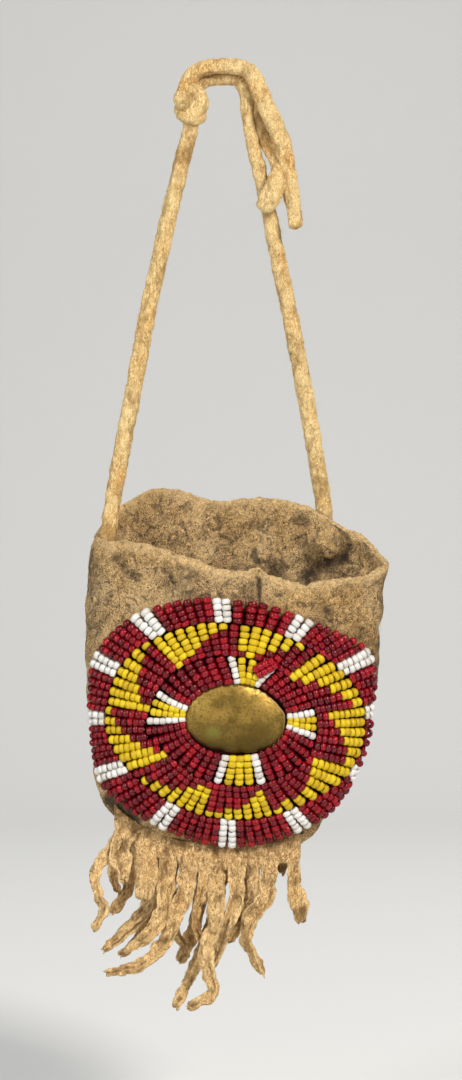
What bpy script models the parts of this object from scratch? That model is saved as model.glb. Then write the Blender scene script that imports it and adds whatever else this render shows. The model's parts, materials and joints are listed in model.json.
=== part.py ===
# A small beaded medicine bag of brain-tanned hide on a hide thong.
#
# The bag is one folded piece of hide, open at the top and closed flat along its bottom seam.
# A lazy-stitch rosette of glass seed beads covers its front in three lanes round a brass concho.
# Two strips of fringe are sewn on along the bottom seam, one in front and one behind.
# Metres, +Z up, +X to the right of someone who faces the beadwork, and -Y towards them.
# The origin is where the thong rests on whatever it hangs from.
# Sizes below are in millimetres and are turned into metres as the meshes are made.

import math

import bmesh
import bpy
import numpy as np
from mathutils import Matrix, Vector

MM = 0.001
SEAT = 0.3

# Hide shell: left and right edge, depth in front and depth behind, each against height
WALL = 1.7
NORMAL_STEP_ANGLE = 0.01
NORMAL_STEP_HEIGHT = 0.2
BOTTOM_Z = -194.5
LEFT_EDGE = ((-100.0, -30.0), (-113.5, -33.0), (-131.5, -35.0), (-151.5, -34.8), (-171.8, -32.8),
             (-179.0, -31.2), (-184.5, -27.0), (-190.3, -19.5), (-194.5, -13.0))
RIGHT_EDGE = ((-100.0, 38.5), (-119.0, 41.0), (-126.5, 39.2), (-134.0, 39.0), (-151.5, 37.0),
              (-164.0, 35.0), (-172.8, 31.4), (-181.0, 26.4), (-189.3, 19.8), (-194.5, 13.0))
FRONT_DEPTH = ((-100.0, 12.4), (-125.0, 13.6), (-150.0, 12.6), (-170.0, 10.0), (-183.0, 5.6),
               (-190.0, 2.5), (-194.5, 1.7))
BACK_DEPTH = ((-100.0, 13.2), (-120.0, 12.2), (-150.0, 9.2), (-175.0, 6.2), (-188.0, 2.6),
              (-194.5, 1.7))
FRONT_RIM = ((-33.0, -110.5), (-31.8, -113.6), (-20.5, -115.4), (-7.8, -119.2), (0.0, -121.8),
             (5.5, -122.1), (8.0, -121.3), (10.8, -122.8), (19.3, -125.0), (21.5, -125.8),
             (23.5, -124.8), (30.8, -124.0), (36.3, -123.2), (38.8, -121.6), (41.0, -120.5))
BACK_RIM = ((-33.0, -110.5), (-31.0, -107.0), (-25.3, -103.3), (-21.5, -101.8), (-15.3, -101.5),
            (-2.8, -104.7), (3.5, -104.0), (13.5, -104.0), (22.5, -106.3), (30.8, -111.5),
            (34.8, -113.3), (38.0, -116.5), (41.0, -120.5))
RIM_REFERENCE_Z = -115.0
FRONT_COLUMNS = 24
BACK_COLUMNS = 18
OUTER_LEVELS = (0.0, 0.035, 0.08, 0.14, 0.23, 0.33, 0.43, 0.53, 0.63, 0.73, 0.82, 0.88, 0.93,
                0.965, 1.0)
INNER_LEVELS = (0.0, 0.05, 0.12, 0.25, 0.4, 0.55, 0.69, 0.8)
FLOOR_LEVEL = 0.86
FLOOR_NARROWING = 4.0
FLOOR_HALF_DEPTH = 0.7

# Folds of the hide below the rim: place, how far out, half width and how far down they reach
CREASE_X = 8.0
CREASE_HALF_WIDTH = 1.5
FRONT_FOLDS = ((CREASE_X, -1.5, CREASE_HALF_WIDTH, 6.0), (-19.0, 1.3, 8.0, 9.0),
               (-3.0, -0.9, 6.0, 8.0), (24.0, 1.4, 7.0, 9.0))
BACK_FOLDS = ((-14.0, 1.5, 7.0, 12.0), (4.0, -1.4, 7.0, 12.0), (33.0, 0.9, 4.0, 8.0))

# Rosette: the ovals that bound its lanes, from the rim inwards, as half widths and half heights
ROSETTE_CENTRE = (1.5, -159.4)
CONCHO_CENTRE = (2.5, -158.6)
RIM_OVAL = (36.0, 30.9)
OUTER_LANE_OVAL = (29.5, 25.3)
MIDDLE_LANE_OVAL = (19.8, 17.0)
LANE_GAP = 0.2
BEAD_EDGE = 1.15
BEAD_TOP = 2.2
# The ovals widen towards the folds of the hide: shares of the rim's half width, and how much
SPREAD_START = 0.35
SPREAD_END = 0.85
SPREAD_LEFT = 0.1
SPREAD_RIGHT = 0.155
# Past a fold the rows crowd up, from this far short of it and within this reach
WRAP_START = 2.0
WRAP_REACH = 3.0
ARC_TURNS = 0.75
ARC_STEPS = 136

# Beads in a row of each lane, and rows in the two inner lanes
OUTER_BEADS = 4
MIDDLE_BEADS = 6
INNER_BEADS = 4
RED_ROWS = (5, 6, 4, 5, 7, 6, 6, 6, 6, 5, 5, 6)
WHITE_BAR_ANGLE = 7.8
WHITE_BAR_ROWS = 2
WHITE_BARS = (-4.0, 33.0, 61.0, 85.0, 117.0, 150.0, 182.0, 212.0, 244.0, 273.0, 299.0, 325.0)
# Each yellow triangle steps down clockwise from its start: how many steps of the lane's width
# are yellow in each of its rows
TRIANGLE_STEPS = 6
TRIANGLES = ((-38.7, (5, 5, 5, 4, 3, 2, 1, 0)),
             (6.4, (4, 5, 4, 3, 2, 1, 0)),
             (46.8, (5, 5, 4, 3, 2, 1)),
             (80.6, (5, 5, 4, 3, 2, 1)),
             (118.0, (5, 5, 4, 3, 2, 2, 1)),
             (158.0, (5, 4, 3, 2, 2, 1, 1)),
             (195.5, (5, 5, 4, 3, 2, 2, 1, 0)),
             (240.6, (5, 5, 4, 3, 3, 2, 1)),
             (281.0, (5, 5, 4, 3, 3, 2, 1)))
# Each motif round the concho: the turns of its first and last row at the lane's outer edge and
# at its inner edge, its yellow rows between those two white ones, and the red rows up to the next
MOTIFS = (((-1.3, 2.0), (31.7, 23.0), 3, 6), ((78.5, 84.0), (98.8, 98.2), 2, 6),
          ((156.0, 159.5), (193.0, 191.2), 3, 8), ((273.9, 272.0), (297.7, 287.8), 2, 7))

# Domed brass concho with a shank behind it
CONCHO_HALF_LENGTH = 12.4
CONCHO_HALF_HEIGHT = 8.7
CONCHO_RISE = 2.9
CONCHO_THICKNESS = 0.5
CONCHO_CUT_ANGLE = 50.0
CONCHO_LIFT = 0.4
HOLE_SIDES = 14
SHANK_SEGMENTS = 10
SHANK_SIDES = 5
CONCHO_SEGMENTS = 24
CONCHO_SPHERE_RINGS = 14
CONCHO_SIDE_CLEARANCE = 0.45
SHANK_WIRE = 0.4
SHANK_RADIUS = (CONCHO_RISE - CONCHO_THICKNESS / 2 + CONCHO_LIFT - SEAT - SHANK_WIRE) / 2

# Thong: route points are x, y, z along the middle of the lace
THONG_RADIUS = 1.7
THONG_TOP_RADIUS = 1.35
TAIL_RADIUS = 1.6
THONG_HOLE_CLEARANCE = 0.35
THONG_HOLE = (25.6, -114.4)
# How the right leg rises behind the hole: across, back and up from it
THONG_RISE = ((-0.1, 0.5, 2.4), (-0.4, 0.6, 7.0))
KNOT_CENTRE = (-8.6, 0.0, -6.2)
KNOT_HALF_SIZE = (4.1, 3.4, 4.6)
STOPPER_HALF_SIZE = (3.6, 2.5, 3.8)
KNOT_SEGMENTS = 14
KNOT_RINGS = 8
LEFT_LEG_ROUTE = ((-28.0, 0.3, -112.4), (-28.2, 0.4, -109.3), (-28.2, 0.5, -105.0),
                  (-27.1, 0.6, -98.0), (-25.4, 0.8, -88.0), (-23.4, 0.8, -78.0),
                  (-21.6, 0.8, -68.0), (-19.8, 0.6, -58.0), (-17.6, 0.5, -48.0),
                  (-15.4, 0.4, -38.0), (-13.3, 0.2, -29.0), (-11.4, 0.1, -21.0),
                  (-9.8, 0.0, -14.6), (-9.2, 0.0, -12.6))
RIGHT_LEG_TOP_ROUTE = ((-4.3, 0.6, -2.6), (-3.6, 0.8, 0.2), (-1.6, 0.9, 1.4), (1.5, 0.9, 1.5),
                       (3.9, 0.9, 0.6), (4.9, 0.8, -2.6), (5.2, 0.6, -7.3), (6.3, 0.5, -13.5),
                       (8.0, 0.6, -20.3), (9.6, 0.9, -27.0), (11.3, 1.6, -34.5),
                       (13.2, 2.8, -44.0), (15.8, 4.4, -56.0), (18.4, 6.0, -69.0),
                       (20.5, 7.7, -80.0), (22.4, 9.5, -90.5), (24.0, 11.3, -100.0))
LONG_TAIL_ROUTE = ((-9.6, -1.3, 0.2), (-8.0, -1.5, 2.8), (-4.2, -1.5, 4.4), (0.5, -1.5, 4.8),
                   (4.4, -1.6, 4.5), (6.9, -1.7, 2.2), (8.3, -1.9, -1.8), (11.2, -2.2, -8.0),
                   (14.0, -2.4, -14.0), (15.2, -2.4, -20.3), (16.1, -2.3, -26.5),
                   (16.8, -2.1, -32.3), (17.2, -2.0, -37.0))
SHORT_TAIL_ROUTE = ((8.1, 1.8, -4.2), (9.8, 1.3, -8.6), (11.3, 0.6, -13.5), (11.9, -1.0, -19.0),
                    (11.3, -2.9, -24.0), (10.1, -3.4, -28.5), (8.9, -3.4, -32.2))

# Fringe strips: the line of the seam that they are sewn along, and each strand's own line.
# A strand is its points (x, z), how far each stands in front or behind, its widths down its
# length and its twist in degrees.
STRIP = 1.3
STRAND = 1.1
ROOT_STEP = 0.06
SEAM_LINE = ((-27.8, -184.2), (-25.4, -186.8), (-21.0, -190.0), (-15.0, -192.6), (-7.0, -194.2),
             (1.0, -194.8), (9.0, -194.4), (14.0, -193.3), (18.8, -191.2))
BAND_HEIGHT = 2.9
BAND_COLUMNS = 13
BAND_CLEARANCE = 0.65
HEM_HALF_DEPTH = 1.2
LONG_STRAND = 6
FRONT_STRANDS = (
    (((-28.2, -190.5), (-31.2, -194.2), (-32.7, -198.0), (-31.5, -203.0), (-30.2, -205.6),
      (-31.6, -208.6), (-32.8, -211.4)), (-2.9, -3.4, -3.6, -3.2, -2.8, -2.6, -2.4),
     (3.4, 3.2, 2.8, 2.2, 2.6, 2.2, 1.2), 40.0),
    (((-25.6, -190.0), (-25.2, -194.5), (-24.9, -198.2)), (-3.2, -3.8, -4.0),
     (5.4, 4.4, 1.8), 0.0),
    (((-20.0, -194.0), (-20.2, -199.5), (-20.2, -203.6)), (-3.8, -4.8, -5.0),
     (6.6, 5.8, 3.0), 0.0),
    (((-14.4, -197.0), (-15.2, -202.0), (-15.8, -206.4), (-19.6, -212.0), (-24.8, -216.2)),
     (-3.8, -4.6, -5.2, -5.6, -5.4), (4.4, 4.0, 3.8, 3.2, 1.8), -10.0),
    (((-9.6, -197.5), (-10.6, -203.0), (-12.8, -208.6), (-15.4, -214.2), (-20.0, -218.8),
      (-25.0, -220.6), (-29.6, -221.6)), (-3.8, -4.6, -5.0, -5.0, -4.8, -4.4, -4.0),
     (4.4, 4.2, 3.8, 3.6, 3.2, 2.8, 1.4), 20.0),
    (((-5.4, -198.5), (-6.8, -204.0), (-8.0, -208.0), (-7.4, -211.0), (-6.2, -213.4)),
     (-3.2, -3.4, -3.2, -2.8, -2.6), (3.4, 3.0, 2.8, 2.4, 1.4), -30.0),
    (((-2.2, -199.5), (-2.4, -205.0), (-3.0, -210.0), (-4.8, -214.0), (-5.1, -218.0),
      (-4.0, -222.8), (-3.2, -226.0), (-6.0, -228.2), (-9.4, -229.4)),
     (-4.2, -5.2, -5.8, -6.2, -6.4, -6.2, -6.0, -6.0, -5.8),
     (4.4, 4.4, 4.2, 4.0, 3.8, 3.4, 3.0, 2.8, 1.6), 25.0),
    (((2.6, -199.0), (2.5, -203.5), (0.6, -208.8), (-1.4, -214.8), (-3.2, -219.8)),
     (-3.6, -4.0, -4.0, -3.6, -3.2), (3.8, 3.4, 3.0, 2.4, 1.4), 0.0),
    (((6.6, -199.0), (6.3, -203.0), (4.2, -207.6), (0.9, -214.6)),
     (-3.0, -2.8, -1.8, -1.0), (3.6, 3.2, 1.8, 1.2), 35.0),
    (((10.6, -198.0), (10.0, -203.0), (6.2, -208.2), (5.1, -213.0), (6.4, -216.6),
      (8.8, -221.8)), (-3.6, -4.2, -4.4, -4.2, -4.0, -3.8),
     (4.4, 4.4, 4.2, 3.6, 3.4, 2.0), 70.0),
    (((17.0, -196.0), (17.1, -200.8), (18.3, -205.0), (18.7, -209.0)),
     (-2.9, -3.0, -3.0, -2.8), (3.0, 3.6, 4.4, 3.2), 0.0))
BACK_STRANDS = (
    (((-26.4, -190.5), (-28.4, -197.0), (-27.2, -202.4)), (2.4, 2.2, 2.0), (3.0, 2.8, 1.4), 0.0),
    (((-22.6, -194.0), (-25.0, -202.4), (-28.6, -207.6)), (3.4, 4.4, 4.6), (3.4, 3.2, 1.6), 0.0),
    (((-18.6, -197.0), (-19.6, -205.0), (-24.2, -211.2), (-30.2, -216.6)),
     (3.6, 2.0, 1.0, 0.8), (3.6, 3.6, 3.4, 1.8), 20.0),
    (((-14.0, -198.5), (-16.6, -206.5), (-21.0, -213.4), (-26.2, -218.6)),
     (3.8, 4.8, 5.0, 5.0), (3.4, 3.2, 2.8, 1.6), -20.0),
    (((-9.8, -199.5), (-13.2, -206.5), (-13.2, -211.0), (-10.6, -215.6)),
     (3.4, 2.0, 0.8, 0.8), (3.2, 2.8, 2.6, 1.6), 0.0),
    (((-6.0, -200.0), (-6.6, -206.0), (-8.4, -212.4), (-11.8, -220.0)),
     (3.8, 4.4, 4.2, 4.0), (3.4, 3.2, 3.4, 2.6), 20.0),
    (((-1.6, -200.5), (-3.6, -209.0), (-6.6, -217.8), (-8.2, -221.4), (-10.2, -225.6),
      (-12.4, -230.6)), (3.4, 1.6, 0.2, 0.0, -0.2, -0.4), (3.8, 3.6, 3.4, 3.2, 3.0, 2.0), -15.0),
    (((4.4, -199.5), (3.4, -206.0), (2.4, -211.0)), (3.4, 3.8, 3.8), (3.6, 3.2, 1.8), 0.0),
    (((13.8, -194.6), (13.9, -197.4)), (2.6, 2.4), (3.2, 2.2), 0.0))

HIDE_COLOUR = (0.36, 0.24, 0.13, 1.0)
FRINGE_COLOUR = (0.55, 0.37, 0.19, 1.0)
THONG_COLOUR = (0.62, 0.42, 0.19, 1.0)
RED_COLOUR = (0.24, 0.008, 0.02, 1.0)
WHITE_COLOUR = (0.8, 0.76, 0.7, 1.0)
YELLOW_COLOUR = (0.68, 0.46, 0.02, 1.0)
BRASS_COLOUR = (0.42, 0.29, 0.12, 1.0)

for leftover in list(bpy.data.objects):
    bpy.data.objects.remove(leftover)

bagCollection = bpy.data.collections.new("beaded_medicine_bag")
bpy.context.scene.collection.children.link(bagCollection)
cutterCollection = bpy.data.collections.new("cutters")
bpy.context.scene.collection.children.link(cutterCollection)


def make_material(name, colour, roughness, metallic=0.0):
    material = bpy.data.materials.new(name)
    material.use_nodes = True
    shader = material.node_tree.nodes["Principled BSDF"]
    shader.inputs["Base Color"].default_value = colour
    shader.inputs["Roughness"].default_value = roughness
    shader.inputs["Metallic"].default_value = metallic
    material.diffuse_color = colour
    return material


def smooth_value(table, position):
    # A Catmull-Rom curve through a table of (position, value) pairs in rising or falling order
    rows = sorted(table)
    places = [row[0] for row in rows]
    values = [row[1] for row in rows]
    position = min(max(position, places[0]), places[-1])
    step = min(int(np.searchsorted(places, position, side="right")) - 1, len(rows) - 2)
    span = places[step + 1] - places[step]
    t = (position - places[step]) / span
    before = max(step - 1, 0)
    after = min(step + 2, len(rows) - 1)
    slope_in = (values[step + 1] - values[before]) / (places[step + 1] - places[before]) * span
    slope_out = (values[after] - values[step]) / (places[after] - places[step]) * span
    return ((2 * t ** 3 - 3 * t ** 2 + 1) * values[step] + (t ** 3 - 2 * t ** 2 + t) * slope_in
            + (3 * t ** 2 - 2 * t ** 3) * values[step + 1] + (t ** 3 - t ** 2) * slope_out)


def smooth_route(points, steps):
    # Points of a Catmull-Rom curve through a route, with a number of steps between neighbours
    route = [Vector(point) for point in points]
    padded = [route[0] * 2 - route[1]] + route + [route[-1] * 2 - route[-2]]
    result = []
    for index in range(1, len(padded) - 2):
        p0, p1, p2, p3 = padded[index - 1:index + 3]
        for step in range(steps):
            t = step / steps
            result.append(0.5 * (2 * p1 + (p2 - p0) * t + (2 * p0 - 5 * p1 + 4 * p2 - p3) * t ** 2
                                 + (3 * p1 - p0 - 3 * p2 + p3) * t ** 3))
    result.append(route[-1])
    return result


def mesh_object(name, points, faces, material):
    mesh = bpy.data.meshes.new(name)
    mesh.from_pydata([Vector(point) * MM for point in points], [], faces)
    mesh.materials.append(material)
    shape = bpy.data.objects.new(name, mesh)
    bagCollection.objects.link(shape)
    return shape


def move_to(collection, shape):
    for owner in list(shape.users_collection):
        owner.objects.unlink(shape)
    collection.objects.link(shape)


def turn_faces_outward(shape):
    work = bmesh.new()
    work.from_mesh(shape.data)
    bmesh.ops.recalc_face_normals(work, faces=work.faces)
    work.to_mesh(shape.data)
    work.free()


def settle_mesh(shape):
    # Replace a shape's mesh with the result of its modifiers
    evaluated = shape.evaluated_get(bpy.context.evaluated_depsgraph_get())
    finished = bpy.data.meshes.new_from_object(evaluated)
    shape.modifiers.clear()
    shape.data = finished


def combine(shape, other, operation):
    step = shape.modifiers.new(operation.lower(), "BOOLEAN")
    step.operation = operation
    step.solver = "EXACT"
    step.object = other
    settle_mesh(shape)
    bpy.data.objects.remove(other)


# The hide wall as a surface: an angle of 0 is the middle of the front, 90 degrees the right fold

def section(z):
    left = smooth_value(LEFT_EDGE, z)
    right = smooth_value(RIGHT_EDGE, z)
    return ((left + right) / 2, (right - left) / 2,
            smooth_value(FRONT_DEPTH, z), smooth_value(BACK_DEPTH, z))


def rim_height(angle):
    middle, half_width, _, _ = section(RIM_REFERENCE_Z)
    x = middle + half_width * math.sin(angle)
    return smooth_value(FRONT_RIM if math.cos(angle) > 0 else BACK_RIM, x)


def fold_depth(angle, x, z):
    facing = math.cos(angle)
    folds = FRONT_FOLDS if facing > 0 else BACK_FOLDS
    below = max(rim_height(angle) - z, 0.0)
    total = 0.0
    for place, depth, half_width, reach in folds:
        total += depth * math.exp(-((x - place) / half_width) ** 2 - below / reach)
    return total * min(abs(facing) * 2.0, 1.0)


def wall_point(angle, z, inset=0.0):
    middle, half_width, front, back = section(z)
    facing = math.cos(angle)
    x = middle + (half_width - inset) * math.sin(angle)
    depth = (front if facing > 0 else back) - inset
    return Vector((x, -depth * facing - fold_depth(angle, x, z) * (1 if facing > 0 else -1), z))


def wall_normal(angle, z):
    across = wall_point(angle + NORMAL_STEP_ANGLE, z) - wall_point(angle - NORMAL_STEP_ANGLE, z)
    up = wall_point(angle, z + NORMAL_STEP_HEIGHT) - wall_point(angle, z - NORMAL_STEP_HEIGHT)
    return across.cross(up).normalized()


def angle_at(x, z, behind=False):
    middle, half_width, _, _ = section(z)
    share = min(max((x - middle) / half_width, -1.0), 1.0)
    angle = math.asin(share)
    return math.pi - angle if behind else angle


def column_angles():
    angles = [-math.pi / 2 + math.pi * step / FRONT_COLUMNS for step in range(FRONT_COLUMNS)]
    for side in (-1, 0, 1):
        angles.append(angle_at(CREASE_X + side * CREASE_HALF_WIDTH, RIM_REFERENCE_Z))
    angles += [math.pi / 2 + math.pi * step / BACK_COLUMNS for step in range(BACK_COLUMNS)]
    return sorted(angles)


def build_bag(material):
    angles = column_angles()
    count = len(angles)
    rings = []
    for level in OUTER_LEVELS:
        rings.append([wall_point(angle, rim_height(angle) + (BOTTOM_Z - rim_height(angle)) * level)
                      for angle in angles])
    inner = []
    for level in INNER_LEVELS:
        inner.append([wall_point(angle, rim_height(angle) + (BOTTOM_Z - rim_height(angle)) * level,
                                 WALL) for angle in angles])
    floor = []
    for angle in angles:
        z = rim_height(angle) + (BOTTOM_Z - rim_height(angle)) * FLOOR_LEVEL
        middle, half_width, _, _ = section(z)
        floor.append(Vector((middle + (half_width - WALL - FLOOR_NARROWING) * math.sin(angle),
                             -FLOOR_HALF_DEPTH * math.cos(angle), z)))
    rings = list(reversed(rings)) + inner + [floor]
    points = [point for ring in rings for point in ring]
    faces = []
    for ring in range(len(rings) - 1):
        for column in range(count):
            after = (column + 1) % count
            faces.append((ring * count + column, ring * count + after,
                          (ring + 1) * count + after, (ring + 1) * count + column))
    for ring in (0, len(rings) - 1):
        start = ring * count
        hub = len(points)
        points.append(sum(rings[ring], Vector()) / count)
        for column in range(count):
            faces.append((start + column, start + (column + 1) % count, hub))
    bag = mesh_object("bag_body", points, faces, material)
    turn_faces_outward(bag)
    angle = angle_at(THONG_HOLE[0], THONG_HOLE[1], behind=True)
    place = wall_point(angle, THONG_HOLE[1])
    bpy.ops.mesh.primitive_cylinder_add(
        vertices=HOLE_SIDES, radius=(THONG_RADIUS + THONG_HOLE_CLEARANCE) * MM, depth=WALL * 4 * MM,
        location=place * MM, rotation=(math.pi / 2, 0.0, 0.0))
    hole = bpy.context.object
    hole.name = "thong_hole"
    move_to(cutterCollection, hole)
    combine(bag, hole, "DIFFERENCE")
    return bag


# Beadwork

def spread_out(across):
    # Where a place at a share of the rim's half width lies along the hide
    share = abs(across) / RIM_OVAL[0]
    rise = min(max((share - SPREAD_START) / (SPREAD_END - SPREAD_START), 0.0), 1.0)
    most = SPREAD_LEFT if across < 0.0 else SPREAD_RIGHT
    return across * (1.0 + most * rise * rise * (3.0 - 2.0 * rise))


def front_angle(reach, z):
    # The angle at a distance along the hide from the middle of the front, at one height
    _, half_width, front, _ = section(z)
    steps = np.linspace(0.0, math.pi * ARC_TURNS, ARC_STEPS)
    speed = np.hypot(half_width * np.cos(steps), front * np.sin(steps))
    length = np.concatenate(([0.0], np.cumsum((speed[1:] + speed[:-1]) / 2 * np.diff(steps))))
    quarter = float(np.interp(math.pi / 2, steps, length))
    start = quarter - WRAP_START
    distance = abs(reach)
    if distance > start:
        distance = start + WRAP_REACH * (1 - math.exp(-(distance - start) / WRAP_REACH))
    return math.copysign(float(np.interp(distance, length, steps)), reach)


def hide_point(along, z, height):
    # A point over the front, measured along the hide from the line x = 0
    angle = front_angle(along - section(z)[0], z)
    return wall_point(angle, z) + wall_normal(angle, z) * height


def lane_plane(lane, turn, share):
    # A lane's place on the hide laid flat: clockwise degrees from the top at its outer and inner
    # edge, and 0 outside to 1 inside
    outer, outer_centre, inner, inner_centre = (Vector(pair) for pair in lane)
    half = outer.lerp(inner, share)
    centre = outer_centre.lerp(inner_centre, share)
    angle = math.radians(turn[0] + (turn[1] - turn[0]) * share)
    return Vector((centre.x + spread_out(half.x * math.sin(angle)),
                   centre.y + half.y * math.cos(angle)))


def even_turns(first, last, rows):
    # The turns that bound a number of rows, each as a pair at the lane's outer and inner edge
    return [tuple(Vector(first).lerp(Vector(last), row / rows)) for row in range(rows + 1)]


def bead_patch(name, lane, turns, beads, cells, material):
    # A patch of like beads: every bead is a raised point on its cell of the lane
    def flat(row, bead):
        return lane_plane(lane, turns[row], bead / beads)

    corners = {}
    for row, bead in cells:
        middle = (flat(row, bead) + flat(row + 1, bead) + flat(row, bead + 1)
                  + flat(row + 1, bead + 1)) / 4
        for corner in ((row, bead), (row + 1, bead), (row + 1, bead + 1), (row, bead + 1)):
            key = (corner[0] % (len(turns) - 1) if is_full_turn(turns) else corner[0], corner[1])
            corners.setdefault(key, []).append((middle - flat(*corner)).normalized())
    points = []
    number = {}
    for key, inward in corners.items():
        shift = sum(inward, Vector((0.0, 0.0)))
        place = flat(*key)
        if len(inward) < 4:
            place = place + shift.normalized() * (LANE_GAP if len(inward) == 2
                                                  else LANE_GAP * math.sqrt(2.0))
        number[key] = len(points)
        points.append(hide_point(place.x, place.y, BEAD_EDGE))
        points.append(hide_point(place.x, place.y, SEAT))
    faces = []
    sides = {}
    for row, bead in cells:
        keys = []
        for corner in ((row, bead), (row + 1, bead), (row + 1, bead + 1), (row, bead + 1)):
            keys.append((corner[0] % (len(turns) - 1) if is_full_turn(turns) else corner[0],
                         corner[1]))
        ids = [number[key] for key in keys]
        middle = (flat(row, bead) + flat(row + 1, bead + 1)) / 2
        top = len(points)
        points.append(hide_point(middle.x, middle.y, BEAD_TOP))
        faces.append((ids[3] + 1, ids[2] + 1, ids[1] + 1, ids[0] + 1))
        for side in range(4):
            first, second = ids[side], ids[(side + 1) % 4]
            faces.append((first, second, top))
            if (second, first) in sides:
                del sides[(second, first)]
            else:
                sides[(first, second)] = True
    for first, second in sides:
        faces.append((second, first, first + 1, second + 1))
    patch = mesh_object(name, points, faces, material)
    turn_faces_outward(patch)
    return patch


def is_full_turn(turns):
    return abs(turns[-1][0] - turns[0][0] - 360.0) < 0.001


def build_outer_lane(red, white):
    lane = (RIM_OVAL, ROSETTE_CENTRE, OUTER_LANE_OVAL, ROSETTE_CENTRE)
    for index, start in enumerate(WHITE_BARS):
        half = WHITE_BAR_ANGLE / 2
        bar_turns = even_turns((start - half, start - half), (start + half, start + half),
                               WHITE_BAR_ROWS)
        cells = [(row, bead) for row in range(WHITE_BAR_ROWS) for bead in range(OUTER_BEADS)]
        bead_patch(f"white_bar_{index + 1:02d}", lane, bar_turns, OUTER_BEADS, cells, white)
        following = WHITE_BARS[index + 1] if index + 1 < len(WHITE_BARS) else WHITE_BARS[0] + 360.0
        rows = RED_ROWS[index]
        turns = even_turns(bar_turns[-1], (following - half, following - half), rows)
        cells = [(row, bead) for row in range(rows) for bead in range(OUTER_BEADS)]
        bead_patch(f"red_rim_{index + 1:02d}", lane, turns, OUTER_BEADS, cells, red)


def build_middle_lane(red, yellow):
    lane = (OUTER_LANE_OVAL, ROSETTE_CENTRE, MIDDLE_LANE_OVAL, ROSETTE_CENTRE)
    turns = []
    counts = []
    for index, (start, rows) in enumerate(TRIANGLES):
        following = TRIANGLES[index + 1][0] if index + 1 < len(TRIANGLES) else TRIANGLES[0][0] + 360.0
        turns += even_turns((start, start), (following, following), len(rows))[:-1]
        counts += rows
    turns.append((turns[0][0] + 360.0, turns[0][1] + 360.0))
    counts = [round(count * MIDDLE_BEADS / TRIANGLE_STEPS) for count in counts]
    cells = [(row, bead) for row, count in enumerate(counts) for bead in range(count, MIDDLE_BEADS)]
    bead_patch("red_middle", lane, turns, MIDDLE_BEADS, cells, red)
    first = 0
    for index, (_, rows) in enumerate(TRIANGLES):
        last = first + len(rows)
        cells = [(row, bead) for row, count in enumerate(counts[first:last]) for bead in range(count)]
        bead_patch(f"yellow_triangle_{index + 1}", lane, turns[first:last + 1], MIDDLE_BEADS, cells,
                   yellow)
        first = last


def build_inner_lane(red, white, yellow):
    inside = (CONCHO_HALF_LENGTH + CONCHO_SIDE_CLEARANCE, CONCHO_HALF_HEIGHT + CONCHO_SIDE_CLEARANCE)
    lane = (MIDDLE_LANE_OVAL, ROSETTE_CENTRE, inside, CONCHO_CENTRE)
    motif_edges = []
    for first, last, yellow_rows, _ in MOTIFS:
        half_row = (Vector(last) - Vector(first)) / (yellow_rows + 1) / 2
        motif_edges.append(even_turns(Vector(first) - half_row, Vector(last) + half_row,
                                      yellow_rows + 2))
    for index, edges in enumerate(motif_edges):
        groups = ((f"motif_{index + 1}_white_first", edges[0:2], white),
                  (f"motif_{index + 1}_yellow", edges[1:-1], yellow),
                  (f"motif_{index + 1}_white_last", edges[-2:], white))
        for name, turns, material in groups:
            cells = [(row, bead) for row in range(len(turns) - 1) for bead in range(INNER_BEADS)]
            bead_patch(name, lane, turns, INNER_BEADS, cells, material)
        following = Vector(motif_edges[(index + 1) % len(MOTIFS)][0])
        if index + 1 == len(MOTIFS):
            following += Vector((360.0, 360.0))
        rows = MOTIFS[index][3]
        turns = even_turns(edges[-1], following, rows)
        cells = [(row, bead) for row in range(rows) for bead in range(INNER_BEADS)]
        bead_patch(f"red_inner_{index + 1}", lane, turns, INNER_BEADS, cells, red)


def build_concho(material):
    # The dome is the cap of a sphere, scaled to the oval and given its sheet thickness
    bpy.ops.mesh.primitive_uv_sphere_add(segments=CONCHO_SEGMENTS,
                                         ring_count=CONCHO_SPHERE_RINGS, radius=1.0)
    concho = bpy.context.object
    concho.name = "concho"
    concho.data.name = "concho"
    concho.data.materials.append(material)
    cut = math.cos(math.radians(CONCHO_CUT_ANGLE))
    work = bmesh.new()
    work.from_mesh(concho.data)
    bmesh.ops.bisect_plane(work, geom=work.verts[:] + work.edges[:] + work.faces[:],
                           plane_co=(0.0, 0.0, cut), plane_no=(0.0, 0.0, 1.0), clear_inner=True)
    radius = math.sin(math.radians(CONCHO_CUT_ANGLE))
    for vertex in work.verts:
        vertex.co.x *= CONCHO_HALF_LENGTH / radius * MM
        vertex.co.y *= CONCHO_HALF_HEIGHT / radius * MM
        vertex.co.z = (vertex.co.z - cut) * CONCHO_RISE / (1.0 - cut) * MM
    work.to_mesh(concho.data)
    work.free()
    sheet = concho.modifiers.new("sheet", "SOLIDIFY")
    sheet.thickness = CONCHO_THICKNESS * MM
    sheet.offset = -1.0
    settle_mesh(concho)
    bpy.ops.mesh.primitive_torus_add(major_segments=SHANK_SEGMENTS, minor_segments=SHANK_SIDES,
                                     major_radius=SHANK_RADIUS * MM, minor_radius=SHANK_WIRE * MM,
                                     location=(0.0, 0.0, (CONCHO_RISE - SHANK_RADIUS
                                                          - CONCHO_THICKNESS / 2) * MM),
                                     rotation=(math.pi / 2, 0.0, 0.0))
    shank = bpy.context.object
    combine(concho, shank, "UNION")
    angle = angle_at(*CONCHO_CENTRE)
    outward = wall_normal(angle, CONCHO_CENTRE[1])
    place = wall_point(angle, CONCHO_CENTRE[1]) + outward * CONCHO_LIFT
    right = Vector((0.0, 0.0, 1.0)).cross(outward).normalized()
    up = outward.cross(right)
    turn = Matrix((right, up, outward)).transposed().to_4x4()
    concho.matrix_world = Matrix.Translation(place * MM) @ turn
    move_to(bagCollection, concho)
    return concho


# Fringe

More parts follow.
